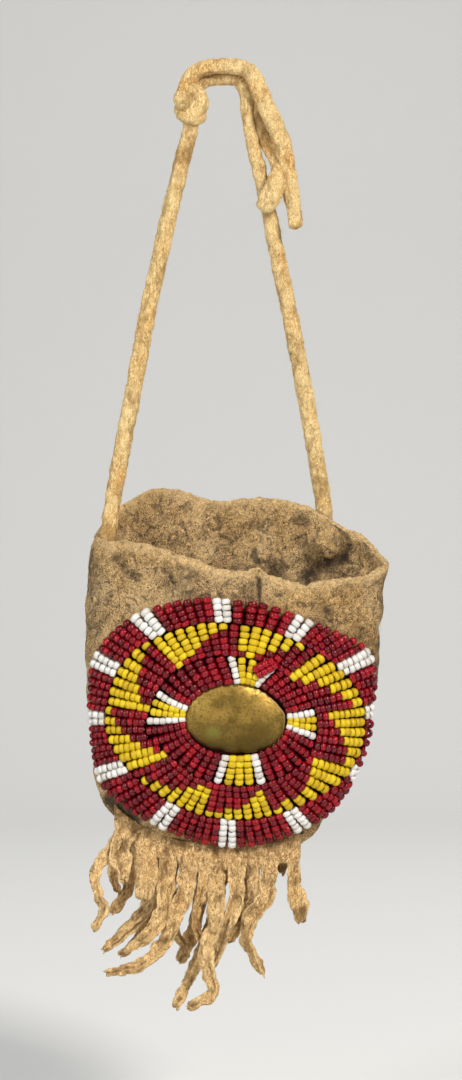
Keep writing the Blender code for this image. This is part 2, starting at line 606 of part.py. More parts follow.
def hem_depth(x, z, behind):
    # How far the hide stands out at a place on the seam, with a least depth past its edge
    middle, half_width, front, back = section(max(z, BOTTOM_Z))
    share = (x - middle) / half_width
    depth = back if behind else front
    if abs(share) >= 1.0:
        return HEM_HALF_DEPTH
    return max(depth * math.sqrt(1.0 - share * share), HEM_HALF_DEPTH)


def build_band(name, behind, material):
    side = 1.0 if behind else -1.0
    points = []
    for column in range(BAND_COLUMNS + 1):
        share = column / BAND_COLUMNS
        x = SEAM_LINE[0][0] + (SEAM_LINE[-1][0] - SEAM_LINE[0][0]) * share
        edge = smooth_value(SEAM_LINE, x)
        for up in (BAND_HEIGHT, BAND_HEIGHT / 2, 0.0, -STRIP):
            inner = hem_depth(x, edge + up, behind) + BAND_CLEARANCE
            points.append(Vector((x, side * inner, edge + up)))
        for up in (-STRIP, 0.0, BAND_HEIGHT / 2, BAND_HEIGHT):
            outer = hem_depth(x, edge + up, behind) + BAND_CLEARANCE + STRIP
            points.append(Vector((x, side * outer, edge + up)))
    around = 8
    faces = [tuple(range(around)), tuple(range(len(points) - around, len(points)))]
    for column in range(BAND_COLUMNS):
        for corner in range(around):
            after = (corner + 1) % around
            first = column * around
            faces.append((first + corner, first + after, first + around + after,
                          first + around + corner))
    band = mesh_object(name, points, faces, material)
    turn_faces_outward(band)
    return band


def build_strand(name, index, strand, behind, material):
    # A strand starts inside its band, a touch deeper or shallower than its neighbours there
    line, depths, widths, twist = strand
    side = 1.0 if behind else -1.0
    root_x, root_z = line[0]
    root_x = min(max(root_x, SEAM_LINE[0][0] + widths[0] / 2 + STRIP / 2),
                 SEAM_LINE[-1][0] - widths[0] / 2 - STRIP / 2)
    edge = smooth_value(SEAM_LINE, root_x)
    root_depth = side * (hem_depth(root_x, edge + STRIP, behind) + BAND_CLEARANCE + STRIP / 2
                         + ROOT_STEP * (index % 3 - 1))
    route = [(root_x, root_depth, edge + STRIP)]
    route += [(x, depth, z) for (x, z), depth in zip(line, depths)]
    rows = smooth_route(route, 1 if len(line) >= LONG_STRAND else 2)
    own_widths = [widths[0]] + list(widths)
    points = []
    for index, place in enumerate(rows):
        ahead = rows[min(index + 1, len(rows) - 1)] - rows[max(index - 1, 0)]
        ahead.normalize()
        share = index / (len(rows) - 1)
        width = float(np.interp(share, np.linspace(0.0, 1.0, len(own_widths)), own_widths))
        across = Vector((1.0, 0.0, 0.0)) - ahead * ahead.x
        across.normalize()
        across = Matrix.Rotation(math.radians(twist) * share, 3, ahead) @ across
        normal = ahead.cross(across)
        for along, out in ((-1, -1), (1, -1), (1, 1), (-1, 1)):
            points.append(place + across * (along * width / 2) + normal * (out * STRAND / 2))
    faces = [(0, 1, 2, 3), tuple(range(len(points) - 4, len(points)))]
    for row in range(len(rows) - 1):
        for corner in range(4):
            after = (corner + 1) % 4
            faces.append((row * 4 + corner, row * 4 + after, row * 4 + 4 + after,
                          row * 4 + 4 + corner))
    shape = mesh_object(name, points, faces, material)
    turn_faces_outward(shape)
    return shape


def build_fringe(name, strands, behind, material):
    band = build_band(name, behind, material)
    for index, strand in enumerate(strands):
        piece = build_strand(f"{name}_strand_{index + 1}", index, strand, behind, material)
        combine(band, piece, "UNION")
    return band


# Thong

def build_thong(name, route, radius, material):
    points = smooth_route([Vector(point) for point in route], 2)
    curve = bpy.data.curves.new(name, "CURVE")
    curve.dimensions = "3D"
    curve.bevel_depth = radius * MM
    curve.bevel_resolution = 2
    curve.use_fill_caps = True
    line = curve.splines.new("POLY")
    line.points.add(len(points) - 1)
    for point, place in zip(line.points, points):
        point.co = (*(place * MM), 1.0)
    curve.materials.append(material)
    thong = bpy.data.objects.new(name, curve)
    bagCollection.objects.link(thong)
    return thong


def right_leg_route():
    # From the stopper knot through the hole in the back wall, up behind the rim and over the top
    angle = angle_at(THONG_HOLE[0], THONG_HOLE[1], behind=True)
    hole = wall_point(angle, THONG_HOLE[1])
    behind = hole.y + SEAT + THONG_RADIUS
    inside = hole.y - WALL - SEAT
    start = [(hole.x, inside, hole.z), (hole.x, hole.y - WALL / 2, hole.z),
             (hole.x, hole.y + THONG_RADIUS / 2, hole.z + SEAT)]
    start += [(hole.x + across, behind + back, hole.z + up) for across, back, up in THONG_RISE]
    return start + list(reversed(RIGHT_LEG_TOP_ROUTE))


def build_knot(name, centre, half_size, material):
    bpy.ops.mesh.primitive_uv_sphere_add(segments=KNOT_SEGMENTS, ring_count=KNOT_RINGS, radius=1.0)
    knot = bpy.context.object
    knot.name = name
    knot.data.name = name
    knot.data.materials.append(material)
    for vertex in knot.data.vertices:
        vertex.co = Vector((vertex.co.x * half_size[0], vertex.co.y * half_size[1],
                            vertex.co.z * half_size[2])) * MM
    knot.location = Vector(centre) * MM
    move_to(bagCollection, knot)
    return knot


def build_thongs(material):
    build_thong("thong_left_leg", LEFT_LEG_ROUTE, THONG_RADIUS, material)
    route = right_leg_route()
    build_thong("thong_right_leg", route, THONG_TOP_RADIUS, material)
    build_thong("thong_long_tail", LONG_TAIL_ROUTE, TAIL_RADIUS, material)
    build_thong("thong_short_tail", SHORT_TAIL_ROUTE, TAIL_RADIUS, material)
    build_knot("thong_knot", KNOT_CENTRE, KNOT_HALF_SIZE, material)
    x, inside, z = route[0]
    build_knot("thong_stopper_knot", (x, inside - SEAT - STOPPER_HALF_SIZE[1], z),
               STOPPER_HALF_SIZE, material)


hide = make_material("hide", HIDE_COLOUR, 0.95)
fringeHide = make_material("fringe_hide", FRINGE_COLOUR, 0.95)
thongHide = make_material("thong_hide", THONG_COLOUR, 0.95)
redGlass = make_material("red_beads", RED_COLOUR, 0.15)
whiteGlass = make_material("white_beads", WHITE_COLOUR, 0.3)
yellowGlass = make_material("yellow_beads", YELLOW_COLOUR, 0.3)
brass = make_material("brass", BRASS_COLOUR, 0.4, 1.0)

build_bag(hide)
build_outer_lane(redGlass, whiteGlass)
build_middle_lane(redGlass, yellowGlass)
build_inner_lane(redGlass, whiteGlass, yellowGlass)
build_concho(brass)
build_fringe("fringe_front", FRONT_STRANDS, False, fringeHide)
build_fringe("fringe_back", BACK_STRANDS, True, fringeHide)
build_thongs(thongHide)
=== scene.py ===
# Beaded medicine bag: the looks of the hide, beadwork, brass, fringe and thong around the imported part
import json
import math

import bpy
import numpy as np
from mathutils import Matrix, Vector, noise

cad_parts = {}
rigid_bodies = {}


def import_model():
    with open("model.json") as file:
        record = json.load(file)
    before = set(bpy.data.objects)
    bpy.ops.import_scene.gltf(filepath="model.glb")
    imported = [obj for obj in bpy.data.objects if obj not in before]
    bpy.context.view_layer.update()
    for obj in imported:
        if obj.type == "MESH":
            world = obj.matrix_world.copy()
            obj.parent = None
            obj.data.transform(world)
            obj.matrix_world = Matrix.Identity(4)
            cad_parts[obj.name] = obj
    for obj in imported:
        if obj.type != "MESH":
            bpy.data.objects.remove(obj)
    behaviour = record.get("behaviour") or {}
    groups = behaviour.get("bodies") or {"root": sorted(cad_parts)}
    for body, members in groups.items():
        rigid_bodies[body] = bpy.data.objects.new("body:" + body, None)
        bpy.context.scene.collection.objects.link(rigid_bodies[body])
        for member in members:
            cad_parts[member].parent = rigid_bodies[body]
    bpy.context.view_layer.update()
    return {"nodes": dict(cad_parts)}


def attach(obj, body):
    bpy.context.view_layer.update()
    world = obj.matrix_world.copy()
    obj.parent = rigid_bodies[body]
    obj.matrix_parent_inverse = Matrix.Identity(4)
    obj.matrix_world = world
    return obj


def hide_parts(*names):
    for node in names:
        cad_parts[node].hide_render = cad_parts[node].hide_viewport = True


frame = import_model()
mm = 0.001


# Camera and stage

view = {"middle": (1.25, -114.0), "distance": 650.0, "frameHeight": 270.0, "sensorHeight": 24.0}
stage = {"floorZ": -262.0, "halfWidth": 3500.0, "front": -3500.0, "back": 700.0, "bend": 350.0,
         "height": 1800.0, "shade": (0.65, 0.65, 0.64), "bendSteps": 16, "worldStrength": 0.24,
         # the lamps, in metres: name, place, width and height, power and tint
         "aim": (0.0, 0.0, -0.13),
         "lamps": (("keyLamp", (0.55, -0.75, 0.55), (0.26, 0.3), 13.0, (1.0, 0.96, 0.91)),
                   ("fillLamp", (-0.75, -0.7, 0.15), (0.25, 0.4), 6.0, (0.95, 0.98, 1.0)),
                   ("backLamp", (0.1, 0.6, 0.7), (0.5, 0.4), 5.0, (1.0, 1.0, 1.0)))}


def placeCamera():
    cameraData = bpy.data.cameras.new("photoCamera")
    cameraData.sensor_fit = "VERTICAL"
    cameraData.sensor_height = view["sensorHeight"]
    cameraData.lens = view["sensorHeight"] * view["distance"] / view["frameHeight"]
    cameraData.clip_start = 0.01
    camera = bpy.data.objects.new("photoCamera", cameraData)
    camera.location = Vector((view["middle"][0], -view["distance"], view["middle"][1])) * mm
    camera.rotation_euler = (math.radians(90.0), 0.0, 0.0)
    bpy.context.scene.collection.objects.link(camera)
    bpy.context.scene.camera = camera


def addLamp(name, place, size, power, tint):
    lampData = bpy.data.lights.new(name, "AREA")
    lampData.shape = "RECTANGLE"
    lampData.size, lampData.size_y = size
    lampData.energy = power
    lampData.color = tint
    lamp = bpy.data.objects.new(name, lampData)
    lamp.location = place
    lamp.rotation_euler = (Vector(stage["aim"]) - Vector(place)).to_track_quat("-Z", "Y").to_euler()
    bpy.context.scene.collection.objects.link(lamp)


def buildStage():
    # One pale sheet: floor, a bend and the wall behind
    profile = [(stage["front"], stage["floorZ"]), (stage["back"], stage["floorZ"])]
    for step in range(1, stage["bendSteps"] + 1):
        turn = math.pi / 2 * step / stage["bendSteps"]
        profile.append((stage["back"] + stage["bend"] * math.sin(turn),
                        stage["floorZ"] + stage["bend"] * (1.0 - math.cos(turn))))
    profile.append((stage["back"] + stage["bend"], stage["height"]))
    points = [(side * stage["halfWidth"] * mm, y * mm, z * mm)
              for y, z in profile for side in (-1, 1)]
    faces = [(2 * row, 2 * row + 1, 2 * row + 3, 2 * row + 2) for row in range(len(profile) - 1)]
    mesh = bpy.data.meshes.new("paleSweep")
    mesh.from_pydata(points, [], faces)
    sweep = bpy.data.objects.new("paleSweep", mesh)
    bpy.context.scene.collection.objects.link(sweep)
    paper = bpy.data.materials.new("palePaper")
    paper.use_nodes = True
    shader = paper.node_tree.nodes["Principled BSDF"]
    shader.inputs["Base Color"].default_value = (*stage["shade"], 1.0)
    shader.inputs["Roughness"].default_value = 0.9
    mesh.materials.append(paper)
    for face in mesh.polygons:
        face.use_smooth = True
    world = bpy.data.worlds.new("studio")
    world.use_nodes = True
    world.node_tree.nodes["Background"].inputs["Color"].default_value = (1.0, 1.0, 1.0, 1.0)
    world.node_tree.nodes["Background"].inputs["Strength"].default_value = stage["worldStrength"]
    bpy.context.scene.world = world
    for lamp in stage["lamps"]:
        addLamp(*lamp)
    bpy.context.scene.view_settings.view_transform = "Standard"


placeCamera()
buildStage()
print("camera and stage are set")


# Small tools

def softNoise(points, size, seed=0.0, detail=1):
    # Smooth noise of about -1 to 1 over points in millimetres; size is that of its lumps
    shift = Vector((seed * 17.3, seed * 9.1, seed * 5.7))
    result = np.zeros(len(points))
    for octave in range(detail):
        rate = 2.0 ** octave / size
        result += [noise.noise(Vector(point) * rate + shift) / 2.0 ** octave for point in points]
    return result * 1.6


def smoothTable(table, position):
    # A smooth curve through (position, value) pairs
    rows = np.array(sorted(table))
    places, values = rows[:, 0], rows[:, 1]
    position = np.clip(np.asarray(position, dtype=float), places[0], places[-1])
    step = np.clip(np.searchsorted(places, position, side="right") - 1, 0, len(rows) - 2)
    before = np.maximum(step - 1, 0)
    after = np.minimum(step + 2, len(rows) - 1)
    span = places[step + 1] - places[step]
    t = (position - places[step]) / span
    slopeIn = (values[step + 1] - values[before]) / (places[step + 1] - places[before]) * span
    slopeOut = (values[after] - values[step]) / (places[after] - places[step]) * span
    return ((2 * t ** 3 - 3 * t ** 2 + 1) * values[step] + (t ** 3 - 2 * t ** 2 + t) * slopeIn
            + (3 * t ** 2 - 2 * t ** 3) * values[step + 1] + (t ** 3 - t ** 2) * slopeOut)


def smoothRoute(points, steps):
    # A smooth curve through route points, with a number of steps between neighbours
    route = np.array(points, dtype=float)
    padded = np.vstack([route[0] * 2 - route[1], route, route[-1] * 2 - route[-2]])
    result = []
    for index in range(1, len(padded) - 2):
        p0, p1, p2, p3 = padded[index - 1:index + 3]
        for step in range(steps):
            t = step / steps
            result.append(0.5 * (2 * p1 + (p2 - p0) * t + (2 * p0 - 5 * p1 + 4 * p2 - p3) * t ** 2
                                 + (3 * p1 - p0 - 3 * p2 + p3) * t ** 3))
    result.append(route[-1])
    return np.array(result)


def lengthAlong(points):
    # How far along a line each of its points lies
    return np.concatenate(([0.0], np.cumsum(np.linalg.norm(np.diff(points, axis=0), axis=1))))


def evenRoute(points, spacing):
    # The same curve with its points an even distance apart
    dense = smoothRoute(points, 24)
    length = lengthAlong(dense)
    places = np.linspace(0.0, length[-1], max(int(round(length[-1] / spacing)), 2) + 1)
    return np.column_stack([np.interp(places, length, dense[:, axis]) for axis in range(3)])


def unit(vectors):
    return vectors / np.maximum(np.linalg.norm(vectors, axis=-1, keepdims=True), 1e-9)


def evenAngles(count):
    # Angles an even step apart, once round
    return 2 * math.pi * np.arange(count) / count


def readAlong(share, values):
    # Values that are spread evenly along a line, read at shares of its length
    return np.interp(share, np.linspace(0.0, 1.0, len(values)), values)


def makePiece(name, points, faces, material, masks):
    # points are in millimetres, and masks are named values for each point that the materials read
    mesh = bpy.data.meshes.new(name)
    mesh.from_pydata((np.asarray(points) * mm).tolist(), [], faces)
    if "soil" in masks:
        for maskName in ("aged", "under"):
            masks.setdefault(maskName, np.zeros(len(points)))
    for maskName, values in masks.items():
        layer = mesh.attributes.new(maskName, "FLOAT", "POINT")
        layer.data.foreach_set("value", np.asarray(values, dtype=np.float32))
    mesh.materials.append(material)
    mesh.polygons.foreach_set("use_smooth", [True] * len(mesh.polygons))
    piece = bpy.data.objects.new(name, mesh)
    bpy.context.scene.collection.objects.link(piece)
    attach(piece, "root")
    return piece


def gridFaces(rows, columns):
    # Quads over rings of points that close on themselves
    faces = []
    for row in range(rows - 1):
        for column in range(columns):
            a, b = row * columns + column, row * columns + (column + 1) % columns
            faces.append((a, b, b + columns, a + columns))
    return faces


def shifted(faces, start):
    # The same faces for points that begin at a later number
    return [tuple(corner + start for corner in face) for face in faces]


def joinShells(shells):
    # The points and faces of several shells as one
    points, faces = [], []
    for shellPoints, shellFaces in shells:
        faces += shifted(shellFaces, sum(map(len, points)))
        points.append(shellPoints)
    return np.vstack(points), faces


def ringAbout(centre, side, other, radius, count):
    return [centre + (side * math.cos(turn) + other * math.sin(turn)) * radius
            for turn in evenAngles(count)]


# Materials

grainScales = {"fine": 1500.0, "middle": 700.0, "blotches": 330.0, "broad": 130.0}
glassScales = {"cloud": 900.0, "pits": 5200.0}
# painted shade: the hide under the rosette turns near-black dark red where it shows between the bead rows
underBeadsShadeColour = (0.06, 0.009, 0.009, 1.0)
bumpDistance = {"hide": 0.0009, "glass": 0.00008, "brass": 0.0001}

hideLook = {"Hide Colour": (0.5, 0.305, 0.132), "Dark Colour": (0.048, 0.034, 0.024),
            "Pale Colour": (0.98, 0.68, 0.33), "Aged Colour": (0.62, 0.345, 0.1),
            "Grain": 1.0, "Grain Size": 1.0, "Grain Stretch": (1.0, 1.0, 1.0)}
fringeLook = {"Hide Colour": (0.68, 0.405, 0.155), "Dark Colour": (0.17, 0.088, 0.03),
              "Pale Colour": (0.98, 0.7, 0.34), "Aged Colour": (0.53, 0.315, 0.13),
              "Grain": 0.8, "Grain Size": 0.85, "Grain Stretch": (1.0, 1.0, 0.6)}
thongLook = {"Hide Colour": (0.7, 0.47, 0.188), "Dark Colour": (0.27, 0.14, 0.045),
             "Pale Colour": (0.94, 0.72, 0.36), "Aged Colour": (0.68, 0.36, 0.1),
             "Grain": 0.7, "Grain Size": 1.0, "Grain Stretch": (1.0, 1.0, 0.5)}
redLook = {"Glass Colour": (0.17, 0.0012, 0.006), "Deep Colour": (0.09, 0.0008, 0.004),
           "Light Colour": (0.31, 0.003, 0.01), "Roughness Level": 0.1}
whiteLook = {"Glass Colour": (0.67, 0.65, 0.62), "Deep Colour": (0.55, 0.51, 0.46),
             "Light Colour": (0.74, 0.72, 0.69), "Roughness Level": 0.3}
yellowLook = {"Glass Colour": (0.58, 0.395, 0.006), "Deep Colour": (0.46, 0.3, 0.007),
              "Light Colour": (0.68, 0.51, 0.012), "Roughness Level": 0.25}


def newGroup(name, inputs):
    # A node group with three outputs, whose inputs take their kind from their first values
    group = bpy.data.node_groups.new(name, "ShaderNodeTree")
    for socketName, value in inputs.items():
        kind = "Float" if isinstance(value, float) else "Vector" if len(value) == 3 else "Color"
        socket = group.interface.new_socket(socketName, in_out="INPUT", socket_type="NodeSocket" + kind)
        socket.default_value = value
    for socketName, kind in (("Colour", "Color"), ("Roughness", "Float"), ("Height", "Float")):
        group.interface.new_socket(socketName, in_out="OUTPUT", socket_type="NodeSocket" + kind)
    return group, group.nodes.new("NodeGroupInput").outputs, group.nodes.new("NodeGroupOutput").inputs


def addNode(tree, kind, sockets=None, **settings):
    node = tree.nodes.new(kind)
    for key, value in settings.items():
        setattr(node, key, value)
    for socket, source in (sockets or {}).items():
        if isinstance(source, bpy.types.NodeSocket):
            tree.links.new(source, node.inputs[socket])
        else:
            node.inputs[socket].default_value = source
    return node


def addMath(tree, operation, first, second, clamp=False):
    node = addNode(tree, "ShaderNodeMath", {0: first, 1: second}, operation=operation, use_clamp=clamp)
    return node.outputs[0]


def multiply(tree, first, second, clamp=False):
    return addMath(tree, "MULTIPLY", first, second, clamp)


def addNoise(tree, place, scale, detail=4.0, roughness=0.55, distortion=0.0):
    node = addNode(tree, "ShaderNodeTexNoise", {"Vector": place, "Scale": scale, "Detail": detail,
                                                "Roughness": roughness, "Distortion": distortion})
    return node.outputs["Fac"]


def addRange(tree, value, low, high, least=0.0, most=1.0):
    node = addNode(tree, "ShaderNodeMapRange", {"Value": value, "From Min": low, "From Max": high,
                                                "To Min": least, "To Max": most})
    return node.outputs["Result"]


def addMix(tree, share, first, second):
    # The sockets are named by number, since a mix node has one of each name for every kind
    return addNode(tree, "ShaderNodeMix", {0: share, 6: first, 7: second}, data_type="RGBA").outputs[2]


def readMask(tree, name):
    return addNode(tree, "ShaderNodeAttribute", attribute_name=name).outputs["Fac"]


def linkAll(tree, sockets, sources):
    for socketName, source in sources.items():
        tree.links.new(source, sockets[socketName])


def buildHideGroup():
    # Napped hide: mottled colour, pale rubbed patches and cut edges with painted highlights, dark grain
    # in the pores, soil with painted shade, and painted shade between the bead rows
    group, given, result = newGroup("nappedHide", {
        "Hide Colour": (0.4, 0.28, 0.15, 1.0), "Dark Colour": (0.12, 0.08, 0.05, 1.0),
        "Pale Colour": (0.62, 0.47, 0.28, 1.0), "Aged Colour": (0.4, 0.28, 0.15, 1.0),
        "Grain": 0.5, "Grain Size": 1.0, "Grain Stretch": (1.0, 1.0, 1.0),
        "Aged": 0.0, "Under": 0.0, "Soil": 0.0, "Edge": 0.0})
    dark, pale = given["Dark Colour"], given["Pale Colour"]
    place = addNode(group, "ShaderNodeTexCoord").outputs["Object"]
    place = addNode(group, "ShaderNodeVectorMath", {0: place, 1: given["Grain Stretch"]},
                    operation="MULTIPLY").outputs[0]

    def grain(name, *settings):
        scale = multiply(group, given["Grain Size"], grainScales[name])
        return addNoise(group, place, scale, *settings)

    fine, middle = grain("fine", 6.0, 0.66, 2.2), grain("middle", 4.0, 0.6)
    patches = addRange(group, grain("broad", 3.0, 0.5), 0.4, 0.66, 0.0, 0.6)
    colour = addMix(group, patches, given["Hide Colour"], pale)
    aged = multiply(group, given["Aged"], addRange(group, middle, 0.25, 0.5), clamp=True)
    colour = addMix(group, aged, colour, given["Aged Colour"])
    # the edge mask pales cut edges, and also carries painted highlights on raised lumps and the rolled
    # rim, and painted light in the seam crease
    edge = multiply(group, given["Edge"], addRange(group, middle, 0.3, 0.55))
    colour = addMix(group, edge, colour, pale)
    colour = addMix(group, addRange(group, fine, 0.51, 0.6, 0.0, 0.95), colour, pale)
    pores = multiply(group, addRange(group, fine, 0.49, 0.415),
                     addRange(group, middle, 0.3, 0.6, 0.4, 1.0))
    pores = multiply(group, pores, given["Grain"], clamp=True)
    pores = multiply(group, pores, addRange(group, edge, 0.0, 1.0, 1.0, 0.45))
    colour = addMix(group, pores, colour, dark)
    blotches = addRange(group, grain("blotches", 5.0, 0.62, 1.0), 0.5, 0.36)
    blotches = multiply(group, multiply(group, blotches, 0.75), given["Grain"], clamp=True)
    blotches = multiply(group, blotches, addMath(group, "SUBTRACT", 1.0, edge), clamp=True)
    colour = addMix(group, blotches, colour, dark)
    # the soil mask darkens with soil and with painted shade in hollows, creases and inside the mouth
    soil = addMath(group, "ADD", given["Soil"], addRange(group, middle, 0.3, 0.7, -0.3, 0.3))
    soil = multiply(group, addRange(group, soil, 0.15, 1.1), 0.85, clamp=True)
    colour = addMix(group, soil, colour, dark)
    # painted shade under the beads, read from the under mask
    colour = addMix(group, given["Under"], colour, underBeadsShadeColour)
    height = addMath(group, "ADD", multiply(group, fine, 1.2), multiply(group, middle, 0.6))
    linkAll(group, result, {"Colour": colour, "Height": height,
                            "Roughness": addRange(group, middle, 0.3, 0.7, 0.82, 0.98)})
    return group


def buildGlassGroup():
    # Seed bead glass: each bead has its own tone, with faint cloudiness and pits
    group, given, result = newGroup("beadGlass", {
        "Glass Colour": (0.3, 0.01, 0.03, 1.0), "Deep Colour": (0.1, 0.004, 0.01, 1.0),
        "Light Colour": (0.5, 0.05, 0.08, 1.0), "Tone": 0.5, "Roughness Level": 0.15})
    place = addNode(group, "ShaderNodeTexCoord").outputs["Object"]
    cloud = addNoise(group, place, glassScales["cloud"], 3.0)
    pits = addNoise(group, place, glassScales["pits"], 2.0)
    colour = addMix(group, addRange(group, given["Tone"], 0.45, 0.0), given["Glass Colour"],
                    given["Deep Colour"])
    colour = addMix(group, addRange(group, given["Tone"], 0.6, 1.0), colour, given["Light Colour"])
    dull = multiply(group, addRange(group, cloud, 0.5, 0.7), 0.35)
    colour = addMix(group, dull, colour, given["Deep Colour"])
    rough = addMath(group, "ADD", given["Roughness Level"], addRange(group, cloud, 0.4, 0.7, 0.0, 0.15))
    linkAll(group, result, {"Colour": colour, "Roughness": rough, "Height": pits})
    return group


def startMaterial(name):
    material = bpy.data.materials.new(name)
    material.use_nodes = True
    tree = material.node_tree
    return material, tree, tree.nodes["Principled BSDF"].inputs


def finishShader(tree, shader, colour, roughness, height, strength, distance):
    bump = addNode(tree, "ShaderNodeBump", {"Height": height, "Strength": strength, "Distance": distance})
    linkAll(tree, shader, {"Base Color": colour, "Roughness": roughness,
                           "Normal": bump.outputs["Normal"]})


def groupMaterial(name, group, look, masks, strength, distance):
    # A material of one node group: look holds the group's values, and each mask feeds the
    # input of its own name
    material, tree, shader = startMaterial(name)
    node = addNode(tree, "ShaderNodeGroup", node_tree=group)
    for socketName, value in look.items():
        node.inputs[socketName].default_value = (*value, 1.0) if "Colour" in socketName else value
    for mask in masks:
        tree.links.new(readMask(tree, mask.lower()), node.inputs[mask])
    finishShader(tree, shader, node.outputs["Colour"], node.outputs["Roughness"],
                 node.outputs["Height"], strength, distance)
    shader["Specular IOR Level"].default_value = 0.2
    return material, shader


hideGroup = buildHideGroup()
glassGroup = buildGlassGroup()


def hideMaterial(name, look, bumpStrength):
    return groupMaterial(name, hideGroup, look, ("Aged", "Under", "Soil", "Edge"), bumpStrength,
                         bumpDistance["hide"])[0]


def glassMaterial(name, look, coat):
    material, shader = groupMaterial(name, glassGroup, look, ("Tone",), 0.12, bumpDistance["glass"])
    shader["IOR"].default_value = 1.52
    shader["Coat Weight"].default_value = coat
    shader["Coat Roughness"].default_value = 0.03
    return material


hideSkin = hideMaterial("smokedHide", hideLook, 1.0)
fringeSkin = hideMaterial("fringeHide", fringeLook, 0.7)
thongSkin = hideMaterial("thongHide", thongLook, 0.7)
redGlass = glassMaterial("cranberryGlass", redLook, 0.2)
whiteGlass = glassMaterial("chalkGlass", whiteLook, 0.1)
yellowGlass = glassMaterial("greasyYellowGlass", yellowLook, 0.15)
print("materials are made")


# Hide pouch: left and right edge and depths against height, all in millimetres

pouch = {
    "wall": 1.7,
    "bottomZ": -194.5,
    "leftEdge": ((-100.0, -30.0), (-113.5, -33.0), (-131.5, -35.0), (-151.5, -34.8),
                 (-171.8, -32.8), (-179.0, -31.2), (-184.5, -27.0), (-190.3, -19.5),
                 (-194.5, -13.0)),
    "rightEdge": ((-100.0, 38.5), (-119.0, 41.0), (-126.5, 39.2), (-134.0, 39.0), (-151.5, 37.0),
                  (-164.0, 35.0), (-172.8, 31.4), (-181.0, 26.4), (-189.3, 19.8), (-194.5, 13.0)),
    "frontDepth": ((-100.0, 12.4), (-125.0, 13.6), (-150.0, 12.6), (-170.0, 10.0), (-183.0, 5.6),
                   (-190.0, 2.5), (-194.5, 1.7)),
    "backDepth": ((-100.0, 13.2), (-120.0, 12.2), (-150.0, 9.2), (-175.0, 6.2), (-188.0, 2.6),
                  (-194.5, 1.7)),
    "frontRim": ((-33.4, -113.6), (-30.8, -114.3), (-20.5, -115.4), (-7.8, -119.2),
                 (0.0, -121.8), (5.5, -122.1), (8.0, -121.3), (10.8, -122.8), (19.3, -125.0),
                 (21.5, -125.8), (23.5, -124.8), (30.8, -124.0), (36.3, -123.2), (38.8, -121.6),
                 (41.0, -120.5)),
    "backRim": ((-33.4, -113.6), (-32.6, -111.6), (-30.6, -107.8), (-25.3, -103.6), (-21.5, -101.8),
                (-15.3, -101.5), (-2.8, -104.7), (3.5, -104.0), (13.5, -104.0), (22.5, -106.3),
                (30.8, -111.5), (34.8, -113.3), (38.0, -116.5), (41.0, -120.5)),
    "rimReferenceZ": -115.0,
    # place, how far out, half width and how far down
    "frontFolds": ((8.0, -1.5, 1.5, 6.0), (-19.0, 1.3, 8.0, 9.0), (-3.0, -0.9, 6.0, 8.0),
                   (24.0, 1.4, 7.0, 9.0)),
    "backFolds": ((-14.0, 1.5, 7.0, 12.0), (4.0, -1.4, 7.0, 12.0), (33.0, 0.9, 4.0, 8.0)),
    "columns": 340,
    "outerRings": 170,
    "innerRings": 70,
    "floorLevel": 0.86,
    "floorNarrowing": 4.0,
    "floorHalfDepth": 0.7,
    # creases pressed into the front: x and z of both ends, half width and depth
    "creases": ((8.0, -121.5, 8.4, -130.0, 0.45, 1.0), (-29.5, -178.5, -21.5, -184.0, 1.0, 0.8),
                (-24.2, -183.6, -25.0, -192.5, 0.9, 0.9), (27.8, -186.5, 31.5, -189.0, 0.6, 0.6),
                (-18.5, -187.5, -10.5, -189.8, 0.6, 0.5), (13.0, -123.5, 16.5, -128.0, 0.8, -0.4),
                (2.5, -122.5, 1.0, -128.0, 0.9, -0.4), (-27.0, -118.0, -22.0, -124.0, 1.6, 0.35)),
    # size and height of the lumps: broad and fine outside, drawn folds below the rim and puckers
    # above the seam (with how far these reach), broad and fine inside
    "lumps": (9.0, 0.42), "fineLumps": (2.2, 0.15), "drawn": (4.5, 0.42, 10.0),
    "puckers": (3.0, 0.5, 5.0), "innerLumps": (7.0, 0.5), "innerFine": (2.4, 0.22),
    "plainBand": 6.0, "rimWaver": 0.3, "rimSteps": 8, "levelPower": 1.05,
    # darkening: a smudge of soil at the lower left (x, z, half sizes, strength), painted shade round the
    # hole (reach and strength), darker towards the right side (from x, over, strength), and painted
    # shadow beside the knot inside
    "smudge": (-27.0, -181.5, 5.0, 4.5, 0.8), "holeShade": (2.4, 1.2), "sideDarkening": (30.0, 9.0, 0.3),
    "knotShade": {"centre": (26.4, -115.0), "reach": 4.6, "width": 1.3, "from": 25.0},
    # painted shade inside the mouth deepens below this height
    "deepFrom": -117.0,
}


def sectionAt(z):
    left = smoothTable(pouch["leftEdge"], z)
    right = smoothTable(pouch["rightEdge"], z)
    return ((left + right) / 2, (right - left) / 2, smoothTable(pouch["frontDepth"], z),
            smoothTable(pouch["backDepth"], z))


def rimHeight(angle):
    middle, halfWidth, _, _ = sectionAt(pouch["rimReferenceZ"])
    x = middle + halfWidth * np.sin(angle)
    return np.where(np.cos(angle) > 0, smoothTable(pouch["frontRim"], x),
                    smoothTable(pouch["backRim"], x))


def foldDepth(angle, x, z):
    facing = np.cos(angle)
    below = np.maximum(rimHeight(angle) - z, 0.0)
    total = np.zeros(np.broadcast(angle, x, z).shape)
    for folds, here in ((pouch["frontFolds"], facing > 0), (pouch["backFolds"], facing <= 0)):
        for place, depth, halfWidth, reach in folds:
            total = total + here * depth * np.exp(-((x - place) / halfWidth) ** 2 - below / reach)
    return total * np.minimum(np.abs(facing) * 2.0, 1.0)


